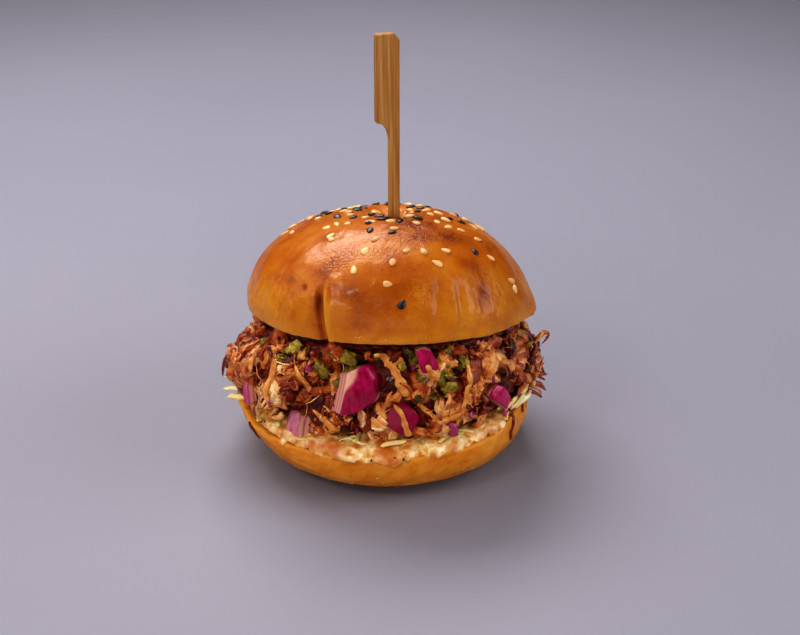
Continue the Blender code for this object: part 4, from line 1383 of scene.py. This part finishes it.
def crumbs(crown_piece, heel_piece, slaw_piece):
    """Pale crumbs on the crusts and along the crown's rim, and pepper on the slaw."""
    rng = np.random.default_rng(161)
    crusts, dressing = tree_of([crown_piece, heel_piece]), tree_of([slaw_piece])
    for name, count, low, high, tree, slot, light, dark in (
        ("bread_crumbs", 90, 1.5, 12.0, crusts, "crust", (236, 200, 140), (206, 140, 70)),
        ("rim_crumbs", 70, 46.0, 60.0, crusts, "crust", (226, 178, 110), (180, 104, 44)),
        ("pepper", 40, 16.5, 21.5, dressing, "cream", (60, 44, 30), (18, 12, 8)),
    ):
        places = []
        for _ in range(count):
            angle = rng.uniform(0, 2 * math.pi)
            height = rng.uniform(low, high) * MM
            if name == "rim_crumbs":
                height = CROWN_ORIGIN.z + 48 * MM * math.cos(angle) * math.tan(CROWN_TILT)
                height += (rng.uniform(0.2, 1.4) ** 2) * MM
            spot = cast_in(tree, angle, height)[0]
            if spot is not None:
                places.append((spot, rng.uniform(0.35, 0.85) * MM, rng.uniform(0, 1)))
        scatter_chunks(name, places, 2.4, 0.5, 162, speck_finish(name, light, dark, 0.6), 4, 6)


# --------------------------------------------------------------------------------- stage and camera


def add_to_scene(name, data):
    made = bpy.data.objects.new(name, data)
    bpy.context.scene.collection.objects.link(made)
    return made


def softbox(name, place, size, power, colour, mirrored):
    lamp = bpy.data.lights.new(name, "AREA")
    lamp.shape = "RECTANGLE"
    lamp.size, lamp.size_y = size
    lamp.energy = power
    lamp.color = colour
    made = add_to_scene(name, lamp)
    made.location = place
    made.visible_glossy = mirrored
    made.rotation_euler = (LIT_POINT - made.location).to_track_quat("-Z", "Y").to_euler()


def studio():
    scene = bpy.context.scene
    camera = bpy.data.cameras.new("camera")
    camera.lens = 70
    camera.sensor_width = 36
    camera.clip_start = 0.01
    scene.camera = add_to_scene("camera", camera)
    scene.camera.location = CAMERA_PLACE
    scene.camera.rotation_euler = (math.pi / 2 - CAMERA_DOWN, 0, 0)
    for row in SOFTBOXES:
        softbox(*row)
    sky = bpy.data.lights.new("sky", "SUN")
    sky.energy = 0.25
    sky.angle = math.radians(60)
    add_to_scene("sky", sky)
    world = bpy.data.worlds.new("studio")
    world.use_nodes = True
    background = world.node_tree.nodes["Background"]
    background.inputs["Color"].default_value = (0.92, 0.84, 0.78, 1.0)
    background.inputs["Strength"].default_value = 0.05
    scene.world = world
    scene.view_settings.view_transform = "Standard"
    scene.view_settings.look = "High Contrast"
    mesh = bpy.data.meshes.new("floor")
    corners = [(x * FLOOR_REACH, y * FLOOR_REACH, 0) for x, y in ((-1, -1), (1, -1), (1, 1), (-1, 1))]
    mesh.from_pydata(corners, [], [(0, 1, 2, 3)])
    mesh.materials.append(floor_finish())
    add_to_scene("floor", mesh)


def dress_pick():
    """The CAD pick keeps its shape and gets its grain."""
    pick = frame["nodes"]["pick"]
    pick.data.materials.clear()
    pick.data.materials.append(bamboo_finish())


def dress():
    """All the pieces, each made before those that lie on it."""
    crown()
    heel()
    pork()
    slaw()
    cabbage()
    barbecue = sauce_finish("barbecue_sauce", (44, 11, 4), (104, 30, 8), 0.22, 0.25)
    creamy = sauce_finish("creamy_sauce", (180, 104, 32), (226, 164, 88), 0.18, 0.8)
    dripped = sauce_finish("dripped_sauce", (96, 20, 2), (150, 56, 12), 0.24, 0.4)
    barbecue_sauce(barbecue)
    relish_layer(barbecue)
    pickles()
    onions()
    made = bpy.data.objects
    crown_piece, heel_piece, dressing = made["crown_bun"], made["heel_bun"], made["slaw_dressing"]
    filling = [made[n] for n in ("pork_heap", "pork_chunks", "pork_strips", "sauce_pools", "pickle_chunks")]
    onion_bits([*filling, dressing])
    filling += [made[row[0] + "_piece"] for row in ONION_PIECES]
    drizzle("creamy_drizzle", DRIZZLES, creamy, filling, 0.5)
    drizzle("barbecue_drips", DRIPS, dripped, [*filling, heel_piece, dressing], 0.45)
    seeds(crown_piece)
    crumbs(crown_piece, heel_piece, dressing)
    dress_pick()


dress()
studio()
bpy.context.view_layer.update()
